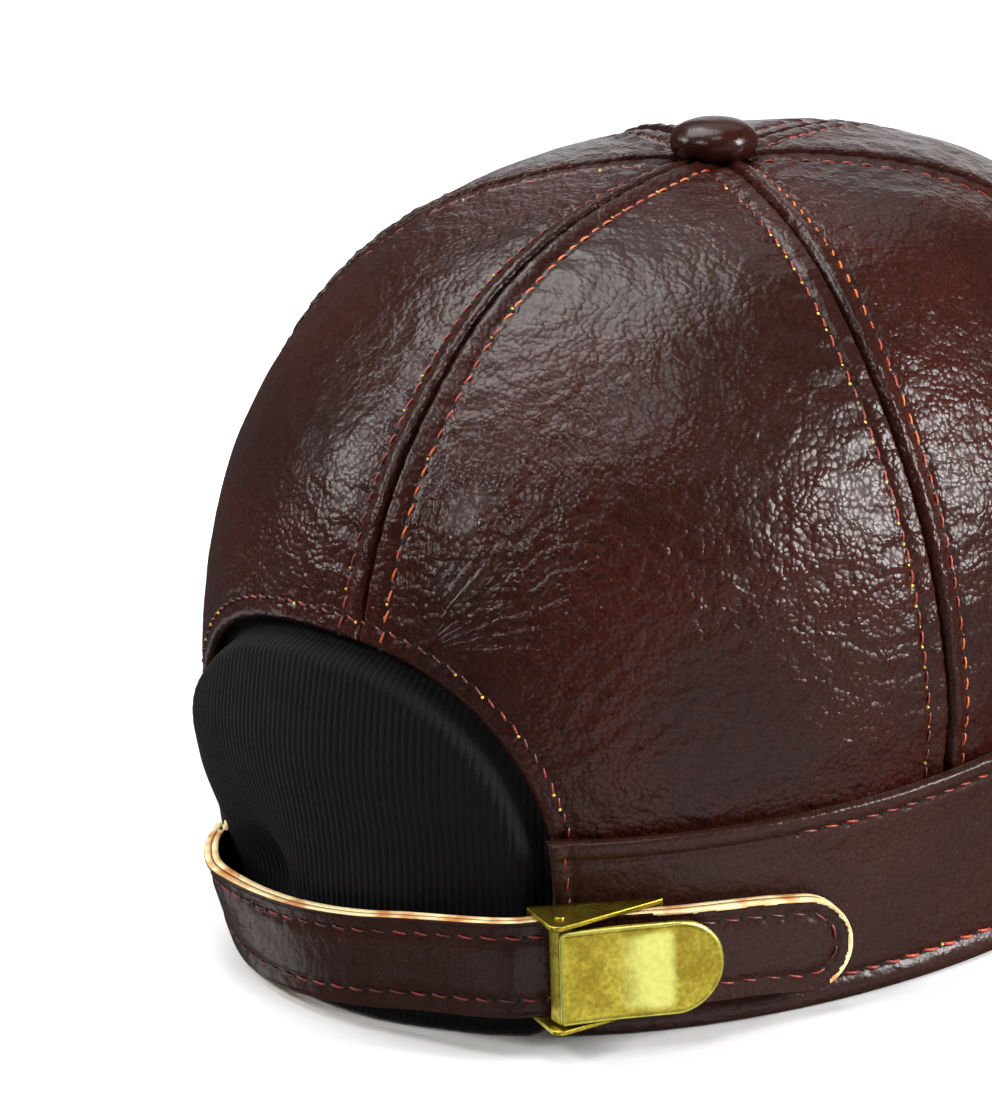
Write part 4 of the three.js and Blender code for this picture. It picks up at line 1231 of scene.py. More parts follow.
def band_relief(points, up, down, end):
    """The band's hems, dips and soft waves. up and down are distances to its edges, end to the opening."""
    rows = mound(up, BAND_TOP_ROW, 0.8) + mound(down, BAND_FOOT_ROW, 0.8) + mound(end, BAND_END_ROW, 0.7)
    hems = 0.4 * (1 - smooth(up, BAND_TOP_ROW - 0.6, BAND_TOP_ROW + 0.4))
    hems = hems + 0.55 * mound(down, 2.2, 1.7)
    hems = hems + 0.3 * (1 - smooth(end, BAND_END_ROW - 0.4, BAND_END_ROW + 0.5))
    beside_rows = mound(up, BAND_TOP_ROW, 2.2) + mound(down, BAND_FOOT_ROW, 2.2)
    ripple = np.sin(end * 2 * math.pi / BAND_PITCH) * beside_rows
    broad = 0.5 * lumps(points, 30, 6.3) + 0.22 * lumps(points, 11, 2.9)
    calm = smooth(up, 3, 9) * smooth(down, 4, 11)
    return hems - 0.38 * rows + 0.07 * ripple + broad * calm


BAND_LENGTH = 250.0       # of each half, about


def band(name, side):
    """The band on one side, from the opening to the front."""
    up_places = stations(BAND_HEIGHT, 1.1, 0.3, 6)
    up_places = up_places / up_places[-1]
    share = stations(BAND_LENGTH, 1.3, 0.45, 4) / BAND_LENGTH
    angle = np.zeros((len(up_places), len(share)))
    for _ in range(5):
        foot = rim_lift(angle)
        top = band_top(angle)
        height = mix(foot, top, up_places[:, None])
        first = side * end_angle(side, height)
        angle = mix(first, 179.9, share[None, :])
    place = place_at(height)
    points = crown_point(side * angle, place)
    end = share[None, :] * BAND_LENGTH + 0 * height
    up, down = top - height, height - foot
    relief = band_relief(points, up, down, end)
    normal = level_normal(side * angle, height)
    radius = BAND_THICKNESS / 2
    nearest = np.minimum(np.minimum(up, down), np.minimum(end, BAND_LENGTH - end + radius))
    fall = fallen_edge(nearest, radius)
    middle = band_out(height, top)
    outer = points + normal * (middle + relief * smooth(nearest, 0, 0.8) - fall)[..., None]
    inner = points + normal * (middle - BAND_THICKNESS + fall)[..., None]
    made, faces, looks = sheet_between(outer, inner)
    looks = np.where(looks == 1, 1, 0)
    return on_cap(add_piece(name, made, faces, [BAND_LEATHER, FLESH], looks), "band_leather", name)


BAND_ROW_SINK = 0.2       # the rows lie this much under the band's plain face
STRAP_TIP_ANGLE = 48.5    # on the wearer's right the foot row is hidden by the strap up to here
TOP_ROW_ANGLE = 43.0      # nearer to the opening the top row is sunk in the band's fold
BAND_ROW_END = 179.7


def line_on_band(side, angle, height):
    """A line of stitches on the band's face, with the ways out."""
    points = crown_point(side * angle, place_at(height))
    normal = level_normal(side * angle, height)
    out = band_out(height, band_top(angle)) - BAND_ROW_SINK
    return points + normal * out[:, None], normal


def band_rows(side):
    """The band's lines of stitches on one side: along its foot, along its top and up its end."""
    first = side * end_angle(side, 30.0) + 2
    foot_angle = np.linspace(float(STRAP_TIP_ANGLE if side < 0 else first), BAND_ROW_END, 1600)
    top_angle = np.linspace(TOP_ROW_ANGLE, BAND_ROW_END, 1600)
    end_height = np.linspace(1.5, BAND_HEIGHT - 1.5, 200)
    beside_end = side * end_angle(side, end_height) + np.degrees(BAND_END_ROW / HALF_LENGTH)
    return (
        line_on_band(side, foot_angle, rim_lift(foot_angle) + BAND_FOOT_ROW),
        line_on_band(side, top_angle, band_top(top_angle) - BAND_TOP_ROW),
        line_on_band(side, beside_end, end_height),
    )


def band_stitches():
    """The band's rows of stitches."""
    feet, tops, ends = [], [], []
    for number, side in enumerate((-1, 1)):
        foot, top, end = band_rows(side)
        feet.append(stitch_row(*foot, BAND_PITCH, 0.08, 20 + number, FOOT_THREAD_RADIUS))
        tops.append(stitch_row(*top, BAND_PITCH, 0.06, 30 + number))
        ends.append(stitch_row(*end, BAND_PITCH, 0.06, 40 + number))
    stitches("band_foot_stitches", feet, ORANGE_RED_THREAD, "band_leather")
    stitches("band_top_stitches", tops, RED_THREAD, "band_leather")
    stitches("band_end_stitches", ends, DARK_THREAD, "band_leather")


# Knitted flap

KNIT_PUFF = 3.1           # how far the knit swells at the wearer's left, and how deep it falls in below that
KNIT_HOLLOW = 7


def knit_out(x, angle, height):
    """How far the knit's outer face stands off the crown's."""
    across = np.abs(x - ARCH_MIDDLE) / ARCH_HALF_WIDTH
    up = np.maximum(height - ARCH_SPRING, 0) / ARCH_RISE
    inside = smooth(1 - across**ARCH_SQUARENESS - up**ARCH_SQUARENESS, 0.02, 0.25)
    above = mix(KNIT_LOW_BULGE, KNIT_BULGE, smooth(height, 26, 42))
    bulge = mix(KNIT_FOOT_BULGE, above, smooth(height, 2, 8))
    puff = KNIT_PUFF * mound(x, 45, 13) * mound(height, 33, 17)
    hollow = KNIT_HOLLOW * mound(x, 31, 10) * mound(height, 16, 12)
    behind = -(panel_tuck(angle, height) + PANEL_THICKNESS + KNIT_CLEARANCE)
    return behind + inside * (bulge + puff) - hollow


NODES_PER_RIB = 6
KNIT_ROWS = 74


def knit_flap():
    """The ribbed flap: fine upright ribs that follow its swell."""
    arc = math.radians(KNIT_TO - KNIT_FROM) * HALF_LENGTH
    columns = int(arc / RIB_PITCH * NODES_PER_RIB)
    rows = KNIT_ROWS
    height = np.linspace(KNIT_FOOT, KNIT_TOP, rows)[:, None] + np.zeros((1, columns))
    angle = np.linspace(KNIT_FROM, KNIT_TO, columns)[None, :] + 0 * height
    place = place_at(height)
    x = crown_point(angle, place)[..., 0]
    out = knit_out(x, angle, height)
    points = crown_offset(angle, place, out)
    ribs = np.radians(angle) * HALF_LENGTH / RIB_PITCH + 0.35 * lumps(points, 24, 2.2)
    relief = RIB_DEPTH * (np.abs(np.sin(math.pi * ribs)) ** 0.6 - 1)
    relief = relief + 0.25 * lumps(points, 13, 7.7)
    outer = crown_offset(angle, place, out + relief)
    inner = crown_offset(angle, place, out - KNIT_THICKNESS)
    made, faces, _ = sheet_between(outer, inner)
    piece = on_cap(add_piece("knit_flap_rib", made, faces, [KNIT]), "rib_knit", "knit_flap")


# Brim

def brim_grid(across, steps):
    """The brim's upper face and thickness: across from the crown outwards, along from side to side."""
    share = np.linspace(-1, 1, steps)[None, :] + 0 * across[:, None]
    t = across[:, None] + 0 * share
    from_front = BRIM_END_ANGLE * share
    angle = 180 - from_front
    rim = rim_lift(angle)
    inset = BAND_THICKNESS + BAND_CLEARANCE + PANEL_THICKNESS
    start = crown_point(angle, place_at(rim)) - level_normal(angle, rim) * inset
    sweep = np.maximum(np.cos(share * math.pi / 2), 0) ** BRIM_OUTLINE_POWER
    width = inset + BRIM_END_WIDTH + (BRIM_LENGTH - BRIM_END_WIDTH) * sweep
    lean = BRIM_SPREAD * np.sin(np.radians(from_front))
    direction = unit(np.stack([lean, -np.ones_like(lean), np.zeros_like(lean)], -1))
    arch = np.cos(np.minimum(np.abs(share) / BRIM_LOW_SHARE, 1) * math.pi / 2) ** BRIM_ARCH_POWER
    edge_top = mix(BRIM_SIDE_TOP, BRIM_TIP_HEIGHT, arch)
    fall = np.maximum(t * width - inset, 0) / (width - inset)
    shelf = smooth(t * width, inset, inset + BRIM_SHELF)
    height = mix(rim - BRIM_GAP, edge_top, fall) + BRIM_CROWNING * np.sin(math.pi * fall) * shelf
    point = start + direction * (t * width)[..., None]
    point[..., 2] = height
    return point, np.minimum(BRIM_THICKNESS, height), (1 - t) * width


FROM_BRIM_EDGE = (0.045, 0.032, 0.022, 0.014, 0.008, 0.003, 0)    # rings of nodes close to the edge
BRIM_ROW_DIP = 0.3


def brim():
    """The curved brim: leather over a stiff core, with a rounded edge and two plain rows of stitches."""
    across = np.concatenate([np.linspace(0, 0.94, 46), 1 - np.array(FROM_BRIM_EDGE)])
    top, thickness, to_edge = brim_grid(across, 241)
    fall = fallen_edge(to_edge, BRIM_THICKNESS / 2) * thickness / BRIM_THICKNESS
    relief = 0.25 * lumps(top, 26, 9.1) * smooth(to_edge, 2, 12)
    for row in BRIM_ROWS:
        relief = relief - BRIM_ROW_DIP * mound(to_edge, row, 0.9)
    outer = top.copy()
    outer[..., 2] += relief - fall
    inner = top.copy()
    inner[..., 2] += fall - thickness
    made, faces, _ = sheet_between(outer, inner)
    on_cap(add_piece("brim_leather", made, faces, [CROWN_LEATHER]), "crown_leather", "brim")
    rows = []
    up = np.array([0.0, 0.0, 1.0])
    for row in BRIM_ROWS:
        line = brim_line(row)
        rows.append(stitch_row(line, np.tile(up, (len(line), 1)), BAND_PITCH, 0.05, 40 + row))
    stitches("brim_stitches", rows, RED_THREAD, "crown_leather")


def brim_line(from_edge):
    """A line on the brim at a distance from its outer edge."""
    across = np.linspace(0.3, 1, 240)
    top, _, to_edge = brim_grid(across, 400)
    line = []
    for j in range(top.shape[1]):
        share = np.interp(-from_edge, -to_edge[:, j], across)
        line.append([np.interp(share, across, top[:, j, k]) for k in range(3)])
    line = np.array(line)
    keep = to_edge[0] > from_edge + 4
    line[:, 2] -= 0.2
    return line[keep]


# Button

BUTTON_RINGS = 40
BUTTON_SIDES = 96
BUTTON_FOLD_DEPTH = 0.16


def button():
    """The covered button: a flattened dome whose leather is gathered under its edge."""
    rings, sides = BUTTON_RINGS, BUTTON_SIDES
    turn = np.linspace(0, math.pi, rings)[:, None] + np.zeros((1, sides))
    around = np.linspace(0, 2 * math.pi, sides, endpoint=False)[None, :] + 0 * turn
    middle = (BUTTON_FOOT + BUTTON_TOP) / 2
    half = (BUTTON_TOP - BUTTON_FOOT) / 2
    gathers = np.sin(BUTTON_FOLDS * around + 0.8 * np.sin(2 * around))
    folds = BUTTON_FOLD_DEPTH * gathers * mound(turn, 2.1, 0.5)
    radius = BUTTON_RADIUS * np.sin(turn) ** 0.82 + folds
    height = middle + half * np.sign(np.cos(turn)) * np.abs(np.cos(turn)) ** 0.9
    points = np.stack([radius * np.sin(around), radius * np.cos(around) + APEX_LEAN, height], -1)
    index = np.arange(rings * sides).reshape(rings, sides)
    following = np.roll(index, -1, axis=1)
    faces = np.stack([index[:-1], index[1:], following[1:], following[:-1]], -1).reshape(-1, 4)
    points = points.reshape(-1, 3)
    piece = add_piece("button_cover", points, facing_out(points, faces), [BUTTON_LEATHER])
    on_cap(piece, "crown_leather", "button")


# Buckle's frame of reference

def buckle_frame():
    """Where the buckle starts, the way along the strap and the way out."""
    out = level_normal(BUCKLE_MIDDLE, BUCKLE_HEIGHT)
    along = np.array([-out[1], out[0], 0])
    place = place_at(BUCKLE_HEIGHT)
    seat = crown_point(BUCKLE_MIDDLE, place)
    hinge = crown_point(BUCKLE_ANGLE, place)
    start = seat + along * ((hinge - seat) @ along)
    start[2] = BUCKLE_HEIGHT
    return start, along, out


BUCKLE_START, BUCKLE_ALONG, BUCKLE_OUT = buckle_frame()


def at_buckle(along, out, up):
    """Points given along the strap, out from the crown and up from the buckle's middle."""
    along, out, up = np.broadcast_arrays(*(np.asarray(v, float) for v in (along, out, up)))
    point = BUCKLE_START + along[..., None] * BUCKLE_ALONG + out[..., None] * BUCKLE_OUT
    return point + up[..., None] * np.array([0.0, 0.0, 1.0])


# Strap

def through_points(points, count):
    """A smooth curve through points, as close points, with its corners' speeds set by their spacing."""
    points = np.asarray(points, float)
    longer = np.concatenate([[2 * points[0] - points[1]], points, [2 * points[-1] - points[-2]]])
    made = []
    for i in range(1, len(longer) - 2):
        p0, p1, p2, p3 = longer[i - 1:i + 3]
        d0, d1, d2 = (np.linalg.norm(b - a) ** 0.5 for a, b in ((p0, p1), (p1, p2), (p2, p3)))
        slope1 = ((p1 - p0) / d0 - (p2 - p0) / (d0 + d1) + (p2 - p1) / d1) * d1
        slope2 = ((p2 - p1) / d1 - (p3 - p1) / (d1 + d2) + (p3 - p2) / d2) * d1
        t = np.linspace(0, 1, count, endpoint=False)[:, None]
        rise = p2 - p1
        bent = t**2 * (3 * rise - 2 * slope1 - slope2) + t**3 * (slope1 + slope2 - 2 * rise)
        made.append(p1 + t * slope1 + bent)
    return np.concatenate(made + [points[-1:]])


def strap_route(edge):
    """The route of the strap's lower (-1) or upper (1) edge. The strap is gathered at its sewn end."""
    def beside_crown(row):
        angle, stand_off, flare, middle = row
        gathered = smooth(angle, STRAP_GATHER_FROM, STRAP_TO_BUCKLE[0][0])
        half = STRAP_WIDTH / 2 * (1 - STRAP_GATHER * gathered)
        middle = middle - STRAP_GATHER_DROP * gathered
        height = middle + edge * math.sqrt(half**2 - (flare / 2) ** 2)
        out = stand_off + edge * flare / 2
        point = crown_point(angle, place_at(height)) + level_normal(angle, height) * out
        point[2] = height
        return point

    inside = [at_buckle(along, STRAP_IN_BUCKLE, edge * STRAP_WIDTH / 2) for along in STRAP_STATIONS]
    points = [*map(beside_crown, STRAP_TO_BUCKLE), *inside, *map(beside_crown, STRAP_FROM_BUCKLE)]
    return through_points(points, 40)


LOW_EDGE, HIGH_EDGE = strap_route(-1), strap_route(1)
STRAP_MIDDLE = (LOW_EDGE + HIGH_EDGE) / 2
STRAP_LENGTHS = lengths_along(STRAP_MIDDLE)
STRAIGHT_LENGTH = STRAP_LENGTHS[-1] - STRAP_WIDTH / 2     # up to where its end begins to round


def strap_grid():
    """Points of the strap's inner face, with the way out, the distance to its edges and the length so far.

    Rows go across the strap and columns along it. The loose end is round.
    """
    half = STRAP_WIDTH / 2
    straight = np.linspace(0, STRAIGHT_LENGTH, int(STRAIGHT_LENGTH / 0.8))
    bend = np.linspace(0, 1, 30)[1:] * math.pi / 2 * 0.994
    along = np.concatenate([straight, STRAIGHT_LENGTH + half * np.sin(bend)])
    narrow = np.concatenate([np.ones(len(straight)), np.cos(bend)])
    across = stations(STRAP_WIDTH, 0.75, 0.2, 1.2) / STRAP_WIDTH * 2 - 1
    share = 0.5 + 0.5 * across[:, None] * narrow[None, :]
    low_at, high_at = (at_lengths(edge, STRAP_LENGTHS, along) for edge in (LOW_EDGE, HIGH_EDGE))
    middle_at = at_lengths(STRAP_MIDDLE, STRAP_LENGTHS, along)
    points = mix(low_at[None], high_at[None], share[..., None])
    way = unit(np.gradient(middle_at, axis=0))
    up = unit(high_at - low_at)
    out = unit(np.cross(up, way))
    out = out * np.sign((out * middle_at).sum(1))[:, None]
    to_side = half * narrow[None, :] * (1 - np.abs(across))[:, None]
    past = np.maximum(along[None, :] - STRAIGHT_LENGTH, 0)
    off = half * np.abs(across)[:, None] * narrow[None, :]
    to_edge = np.where(past > 0, half - np.hypot(past, off), to_side)
    return points, out[None] + 0 * points, to_edge, along[None, :] + 0 * to_edge


def strap_marks(to_edge, along, points, buckle_at):
    """The strap's relief: dips at its stitches, puffs beside them and creases where it enters the buckle."""
    rows = mound(to_edge, STRAP_ROW, 0.75)
    puff = 0.3 * smooth(to_edge, STRAP_ROW, STRAP_ROW + 3)
    ripple = 0.06 * np.sin(along * 2 * math.pi / BAND_PITCH) * mound(to_edge, STRAP_ROW, 2)
    wavy = along + 2.4 * lumps(points, 7, 3.3)
    creased = mound(along, buckle_at - 7, 6) * smooth(lumps(points, 4, 6.6), -0.5, 0.4)
    creases = 0.32 * creased * (np.abs(np.sin(wavy * math.pi / 2.3)) - 0.5)
    return puff - 0.36 * rows + ripple + creases + 0.16 * lumps(points, 12, 1.1)


RAGGED_END = 1.3          # unevenness of the layers' edges near the sewn end
EDGE_SHOWS = 0.6          # width of the pale edge seen from the front, along the loose end
LOOSE_FROM = 18
ROUND_END = 4
CORE_THICKNESS = 0.34
CORE_INSET = 0.12


def strap_layer(name, node, inside, thickness, marked):
    """One leather layer with a dyed face and raw cut edges."""
    points, out, to_edge, along = strap_grid()
    to_start = along - along[0, 0]
    nearest = np.maximum(np.minimum(to_edge, to_start), 0)
    to_buckle = np.linalg.norm(points[0] - at_buckle(-2, STRAP_IN_BUCKLE, 0), axis=1)
    buckle_at = along[0, to_buckle.argmin()]
    marks = strap_marks(to_edge, along, points, buckle_at) if marked else 0.0 * to_edge
    lifted = inside + thickness + (marks - 0.3) * smooth(nearest, 0.1, 1.2) - 0.3 * fallen_edge(nearest, 0.5)
    near_end = (1 - smooth(to_start, 3, 15)) * (1 - smooth(to_edge, 0, 5))
    points[..., 2] += RAGGED_END * lumps(points, 2.6, inside) * near_end
    made, faces, looks = sheet_between(points + out * lifted[..., None], points + out * inside)
    looks = np.where(looks == 2, 1, 0)
    if marked:
        above = np.arange(len(to_edge))[:, None] > len(to_edge) / 2
        loose = (along > buckle_at + LOOSE_FROM) & (above | (along > along.max() - ROUND_END))
        worn = EDGE_SHOWS * (1 + 0.5 * lumps(points, 3, 5.2))
        skived = loose & (to_edge < worn)
        quads = grid_quads(*to_edge.shape)
        looks[:len(quads)] = skived.ravel()[quads].mean(1) > 0.4
    on_cap(add_piece(name, made, faces, [BAND_LEATHER, RAW_EDGE], looks), "band_leather", node)


def glue_line():
    """The thin orange-brown layer between the strap's two leathers."""
    points, out, _, _ = strap_grid()
    middle = points.mean(0, keepdims=True)
    drawn_in = mix(points, middle, CORE_INSET / (STRAP_WIDTH / 2))
    low = STRAP_LAYER + LAYER_GAP / 2 - CORE_THICKNESS / 2
    made, faces, _ = sheet_between(drawn_in + out * (low + CORE_THICKNESS), drawn_in + out * low)
    on_cap(add_piece("strap_glue_line", made, faces, [CORE]), "band_leather")


STRAP_ROW_SINK = 0.58     # how far the stitches are drawn in from the strap's face


def strap_row_line(edge):
    """The line of stitches along one edge of the strap, up to its round end."""
    _, out, _, along = strap_grid()
    inset = STRAP_WIDTH / 2 - STRAP_ROW
    straight_end = along[0, -1] - STRAP_WIDTH / 2
    steps = np.linspace(1, straight_end, 500)
    turn = np.linspace(0, math.pi / 2, 60)[1:]
    line_along = np.concatenate([steps, straight_end + inset * np.sin(turn)])
    line_up = np.concatenate([np.full(500, inset), inset * np.cos(turn)]) * edge
    share = (0.5 + line_up / STRAP_WIDTH)[:, None]
    low_line, high_line = (at_lengths(edge, STRAP_LENGTHS, line_along) for edge in (LOW_EDGE, HIGH_EDGE))
    normals = unit(at_lengths(out[0], along[0], line_along))
    face = 2 * STRAP_LAYER + LAYER_GAP - STRAP_ROW_SINK
    return mix(low_line, high_line, share) + normals * face, normals


def strap():
    """The strap's layers and stitches."""
    strap_layer("strap_back_layer", "strap_backing", 0, STRAP_LAYER + 0.1, False)
    strap_layer("strap_front_layer", "strap_outer", STRAP_LAYER + LAYER_GAP - 0.1, STRAP_LAYER + 0.1, True)
    glue_line()
    rows = [stitch_row(*strap_row_line(edge), BAND_PITCH, 0.0, 60 + edge) for edge in (-1, 1)]
    stitches("strap_stitches", rows, DARK_THREAD, "band_leather")


# Buckle

def outline_plate(name, outline, low, high, bevel, material):
    """A plate from an outline drawn along and out, between two heights, with rounded edges."""
    outline = np.asarray(outline, float)
    count = len(outline)
    bottom = at_buckle(outline[:, 0], outline[:, 1], low)
    top = at_buckle(outline[:, 0], outline[:, 1], high)
    points = np.concatenate([bottom, top])
    k = np.arange(count)
    after = (k + 1) % count
    walls = np.stack([k, after, after + count, k + count], -1).tolist()
    faces = [k[::-1].tolist(), (k + count).tolist(), *walls]
    mesh = bpy.data.meshes.new(name)
    mesh.from_pydata(in_metres(points).tolist(), [], faces)
    mesh.materials.append(material)
    piece = bpy.data.objects.new(name, mesh)
    bpy.context.scene.collection.objects.link(piece)
    turn_outwards(piece)
    rounded(piece, bevel, 3)
    return piece


def turn_outwards(piece):
    """Turns a closed mesh's faces outwards."""
    work = bmesh.new()
    work.from_mesh(piece.data)
    bmesh.ops.recalc_face_normals(work, faces=work.faces)
    work.to_mesh(piece.data)
    work.free()


def rounded(piece, width, segments):
    """Rounds a piece's sharp edges and shades it smooth between them."""
    bevel = piece.modifiers.new("rounded edges", "BEVEL")
    bevel.width = width * MM
    bevel.segments = segments
    bevel.limit_method = "ANGLE"
    bevel.angle_limit = math.radians(32)
    bevel.harden_normals = True
    piece.data.polygons.foreach_set("use_smooth", np.full(len(piece.data.polygons), True))


def arc_points(centre, radius, from_degrees, to_degrees, count):
    """Points of an arc, as along and out."""
    turn = np.radians(np.linspace(from_degrees, to_degrees, count))
    return np.stack([centre[0] + radius * np.cos(turn), centre[1] + radius * np.sin(turn)], -1)


def ear_outline():
    """One ear of the frame: a tall rounded peak over the pin, sloping down along the strap."""
    tip = (EAR_TIP[0], EAR_TIP[1] - EAR_TIP_RADIUS)
    peak = arc_points(tip, EAR_TIP_RADIUS, 68, 155, 9)
    start = [(FRAME_FROM, FRAME_OUT), (FRAME_TO, FRAME_OUT), (FRAME_TO, FRAME_OUT + FRAME_SHEET)]
    return np.concatenate([start, peak, [(FRAME_FROM, FRAME_OUT + FRAME_SHEET)]])


def buckle_body():
    """The buckle's folded frame: a back plate with an ear along each side."""
    half = EAR_GAP / 2
    full = half + EAR_SHEET
    back = np.array([
        (FRAME_FROM, FRAME_OUT), (FRAME_TO, FRAME_OUT),
        (FRAME_TO, FRAME_OUT + FRAME_SHEET), (FRAME_FROM, FRAME_OUT + FRAME_SHEET)])
    plate = outline_plate("buckle_back_plate", back, -full, full, 0.2, BRASS)
    on_cap(plate, "buckle_brass", "buckle_frame")
    for name, low, high in (("buckle_ear_upper", half, full), ("buckle_ear_lower", -full, -half)):
        on_cap(outline_plate(name, ear_outline(), low, high, 0.3, BRASS), "buckle_brass", "buckle_frame")


def buckle_pin():
    """The pin that the lever turns on, with riveted ends."""
    turn = np.linspace(0, 2 * math.pi, 33)[:-1]
    outline = np.array(PIN_PLACE) + PIN_RADIUS * np.stack([np.cos(turn), np.sin(turn)], -1)
    half = EAR_GAP / 2 + EAR_SHEET + PIN_PROUD
    on_cap(outline_plate("buckle_rivet_pin", outline, -half, half, 0.3, BRASS), "buckle_brass", "buckle_pin")


def lever_profile():
    """The lever's middle line from its hinged edge to its tip, with its bend eased."""
    along = np.linspace(LEVER_START[0], LEVER_TIP[0], 96)
    first = np.interp(along, [LEVER_START[0], LEVER_BEND[0]], [LEVER_START[1], LEVER_BEND[1]])
    slope = (LEVER_TIP[1] - LEVER_BEND[1]) / (LEVER_TIP[0] - LEVER_BEND[0])
    last = LEVER_BEND[1] + (along - LEVER_BEND[0]) * slope
    crease = smooth(along, LEVER_BEND[0] - 2.5, LEVER_BEND[0] + 2.5)
    dish = -0.35 * mound(along, 8, 7)
    return along, mix(np.where(along < LEVER_BEND[0], first, last), last, crease * 0.5) + dish


LEVER_CORNER = 1.2


def lever():
    """The lever's plate: bent near its round tip, with rolled edges, on a hub round the pin."""
    along, out = lever_profile()
    half = LEVER_WIDTH / 2
    centre = LEVER_TIP[0] - half
    across = np.sin(np.linspace(-1, 1, 61) * math.pi / 2)
    width = np.where(along > centre, np.sqrt(np.maximum(half**2 - (along - centre) ** 2, 0.02)), half)
    from_corner = ((LEVER_START[0] + LEVER_CORNER - along) / LEVER_CORNER).clip(0, 1)
    width = width - LEVER_CORNER * (1 - np.sqrt(1 - from_corner**2))
    up = across[:, None] * width[None, :]
    a = along[None, :] + 0 * up
    o = out[None, :] + 0 * up
    off = np.hypot(np.maximum(a - centre, 0), up)
    to_edge = np.where(a > centre, half - off, np.minimum(half - np.abs(up), a - LEVER_START[0]))
    to_edge = np.maximum(to_edge, 0)
    fall = fallen_edge(to_edge, 0.42)
    lip = 0.16 * mound(to_edge, 0.45, 0.4)
    outer = at_buckle(a, o - fall + lip, up)
    inner = at_buckle(a, o - LEVER_SHEET + fall, up)
    made, faces, _ = sheet_between(outer, inner)
    plate = add_piece("lever_plate", made, faces, [BRASS])
    # Painted highlights standing in for reflections: a lighter band across the plate and a lighter line along
    # its rolled edge
    highlight_share = smooth(a, *LEVER_HIGHLIGHT_FROM) * (1 - smooth(a, *LEVER_HIGHLIGHT_TO)) * smooth(to_edge, 0, 3)
    highlight_share = np.maximum(highlight_share, 0.8 * (1 - smooth(to_edge, 0.3, 0.8)))
    mark(plate, "painted_highlight", np.concatenate([highlight_share.ravel(), 0 * highlight_share.ravel()]))
    under_plate = LEVER_START[1] - LEVER_SHEET
    hub_outline = np.concatenate([
        arc_points(PIN_PLACE, LEVER_HUB, 180, 360, 17),
        [(PIN_PLACE[0] + LEVER_HUB, under_plate), (LEVER_START[0], under_plate)],
    ])
    hub = outline_plate("lever_hub", hub_outline, -half, half, 0.15, BRASS)
    for piece in (plate, hub):
        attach(piece, "lever")
        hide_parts("buckle_lever")


def buckle_tab():
    """The plain leather pad under the buckle keeps its CAD shape."""
    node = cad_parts["buckle_tab"]
    node.data.materials.clear()
    node.data.materials.append(BAND_LEATHER)


# Stage, lights and camera

FLOOR_HALF = 30.0          # metres; the floor runs on past every view's top
FAR_FLOOR_FROM = 0.8       # from here on it glows, so that it stays as pale as under the lights
FAR_FLOOR_TO = 2.6
FAR_FLOOR_GLOW = 0.85


# Softboxes: name, azimuth and elevation, distance, width and height in metres, power in watts
SOFTBOXES = (
    ("overhead", 75, 66, 1.4, 1.0, 0.9, 21),
    ("overhead_near", 230, 74, 1.4, 0.4, 0.4, 4),
    ("right", 288, 22, 1.4, 0.4, 0.55, 35),
    ("left", 115, 32, 1.4, 0.5, 0.4, 9),
    ("left_high", 172, 42, 1.4, 0.3, 0.3, 7),
    ("far_floor", 32, 45, 2.0, 1.6, 0.8, 3),
)

ROOM_LIGHT = 0.08
# Bright parts of the room: azimuth and elevation, cosines where each begins and is full, strength
GLOWS = (
    (27, 2, 0.955, 0.99, 1.2),
    (240, -24, 0.78, 0.97, 1.3),
    (285, -20, 0.9, 0.98, 0.6),
    (100, -26, 0.93, 0.985, 1.5),
    (175, -24, 0.93, 0.985, 0.8),
)


def floor_material():
    """Matt pale grey studio paper, which the lights bring up to white."""
    material, tree, shader, place = new_material("white_studio_paper")
    fibres = add_node(tree, "TexNoise", "Fac", {"Vector": place, "Scale": per_mm(60), "Detail": 2.0})
    tones = {FACTOR: fibres, FIRST: colour("#e2e3e5"), SECOND: colour("#e6e6e7")}
    base = add_node(tree, "Mix", MIXED, tones, data_type="RGBA")
    reach = add_node(tree, "VectorMath", "Value", {0: place}, operation="LENGTH")
    far = {"Value": reach, "From Min": FAR_FLOOR_FROM, "From Max": FAR_FLOOR_TO, "To Max": FAR_FLOOR_GLOW}
    glow = add_node(tree, "MapRange", "Result", far, interpolation_type="SMOOTHSTEP")
    finish(shader, {"Roughness": 0.9, "Specular IOR Level": 0.2, "Emission Color": colour("#f6f7f8")},
           {"Base Color": base, "Emission Strength": glow})
    return material


def room():
    """A dim pale room whose far wall is bright, with a glow from the floor in front."""
    world = bpy.data.worlds.new("pale_room")
    world.use_nodes = True
    tree = world.node_tree
    way = add_node(tree, "TexCoord", "Generated", {})
    glow = ROOM_LIGHT
    for azimuth, elevation, begins, full, strength in GLOWS:
        bright_way = way_to(azimuth, elevation)
        facing = add_node(tree, "VectorMath", "Value", {0: way, 1: bright_way}, operation="DOT_PRODUCT")
        lobe = {"Value": facing, "From Min": begins, "From Max": full, "To Max": strength}
        shine = add_node(tree, "MapRange", "Result", lobe, interpolation_type="SMOOTHSTEP")
        glow = add_node(tree, "Math", 0, {0: glow, 1: shine}, operation="ADD")
    background = tree.nodes["Background"]
    background.inputs["Color"].default_value = colour("#f4f6f8")
    tree.links.new(glow, background.inputs["Strength"])
    bpy.context.scene.world = world


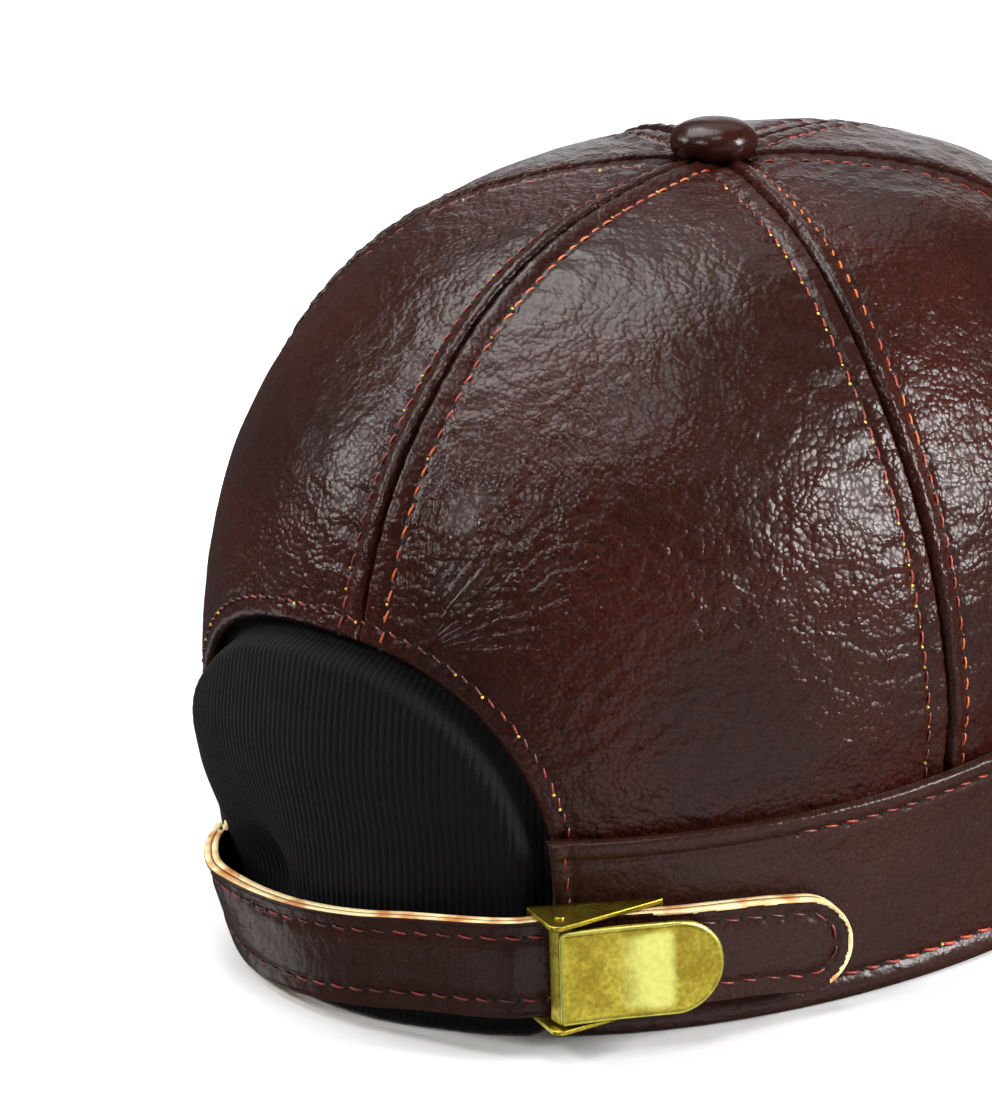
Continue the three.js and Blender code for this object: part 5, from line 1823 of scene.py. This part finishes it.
def studio():
    """A pale floor, a pale room and soft lights."""
    mesh = bpy.data.meshes.new("studio_floor")
    corners = [(x * FLOOR_HALF, y * FLOOR_HALF, 0) for x, y in ((-1, -1), (1, -1), (1, 1), (-1, 1))]
    mesh.from_pydata(corners, [], [(0, 1, 2, 3)])
    mesh.materials.append(floor_material())
    floor = bpy.data.objects.new("studio_floor", mesh)
    bpy.context.scene.collection.objects.link(floor)
    # The room's dark lower half shows in the glaze instead of the floor: the leather keeps its deep colour
    floor.visible_glossy = False
    room()
    for name, azimuth, elevation, distance, width, height, power in SOFTBOXES:
        softbox(name, azimuth, elevation, distance, width, height, power)
    bpy.context.scene.view_settings.view_transform = "Standard"


def way_to(azimuth, elevation):
    """The direction from the cap towards an azimuth and elevation."""
    a, e = math.radians(azimuth), math.radians(elevation)
    return Vector((math.sin(a) * math.cos(e), -math.cos(a) * math.cos(e), math.sin(e)))


def softbox(name, azimuth, elevation, distance, width, height, power):
    """A rectangular soft light that faces the cap."""
    light = bpy.data.lights.new(name, "AREA")
    light.shape = "RECTANGLE"
    light.size = width
    light.size_y = height
    light.energy = power
    lamp = bpy.data.objects.new(name, light)
    way = way_to(azimuth, elevation)
    aim = Vector((0, RIM_MIDDLE_Y, CROWN_HEIGHT / 2)) * MM
    lamp.location = aim + way * distance
    lamp.rotation_euler = (-way).to_track_quat("-Z", "Y").to_euler()
    bpy.context.scene.collection.objects.link(lamp)


def camera():
    """The photograph's viewpoint and lens."""
    back = way_to(CAMERA_AZIMUTH, CAMERA_ELEVATION)
    level_right = (-back).cross(Vector((0, 0, 1))).normalized()
    level_up = level_right.cross(-back)
    roll = math.radians(CAMERA_ROLL)
    right = level_right * math.cos(roll) + level_up * math.sin(roll)
    up = level_up * math.cos(roll) - level_right * math.sin(roll)
    aim = Vector(CAMERA_AIM) + Vector((0, RIM_MIDDLE_Y, 0))
    place = (aim + back * CAMERA_DISTANCE) * MM
    data = bpy.data.cameras.new("photo_view")
    data.lens = LENS
    data.sensor_width = SENSOR
    data.clip_start = 0.05
    data.clip_end = 50
    seen_from = bpy.data.objects.new("photo_view", data)
    turned = Matrix((right, up, back)).transposed().to_4x4()
    seen_from.matrix_world = Matrix.Translation(place) @ turned
    bpy.context.scene.collection.objects.link(seen_from)
    bpy.context.scene.camera = seen_from


camera()
studio()
crown_panels()
crown_stitches()
band("band_right", -1)
band("band_left", 1)
band_stitches()
button()
brim()
knit_flap()
strap()
buckle_body()
buckle_pin()
lever()
buckle_tab()
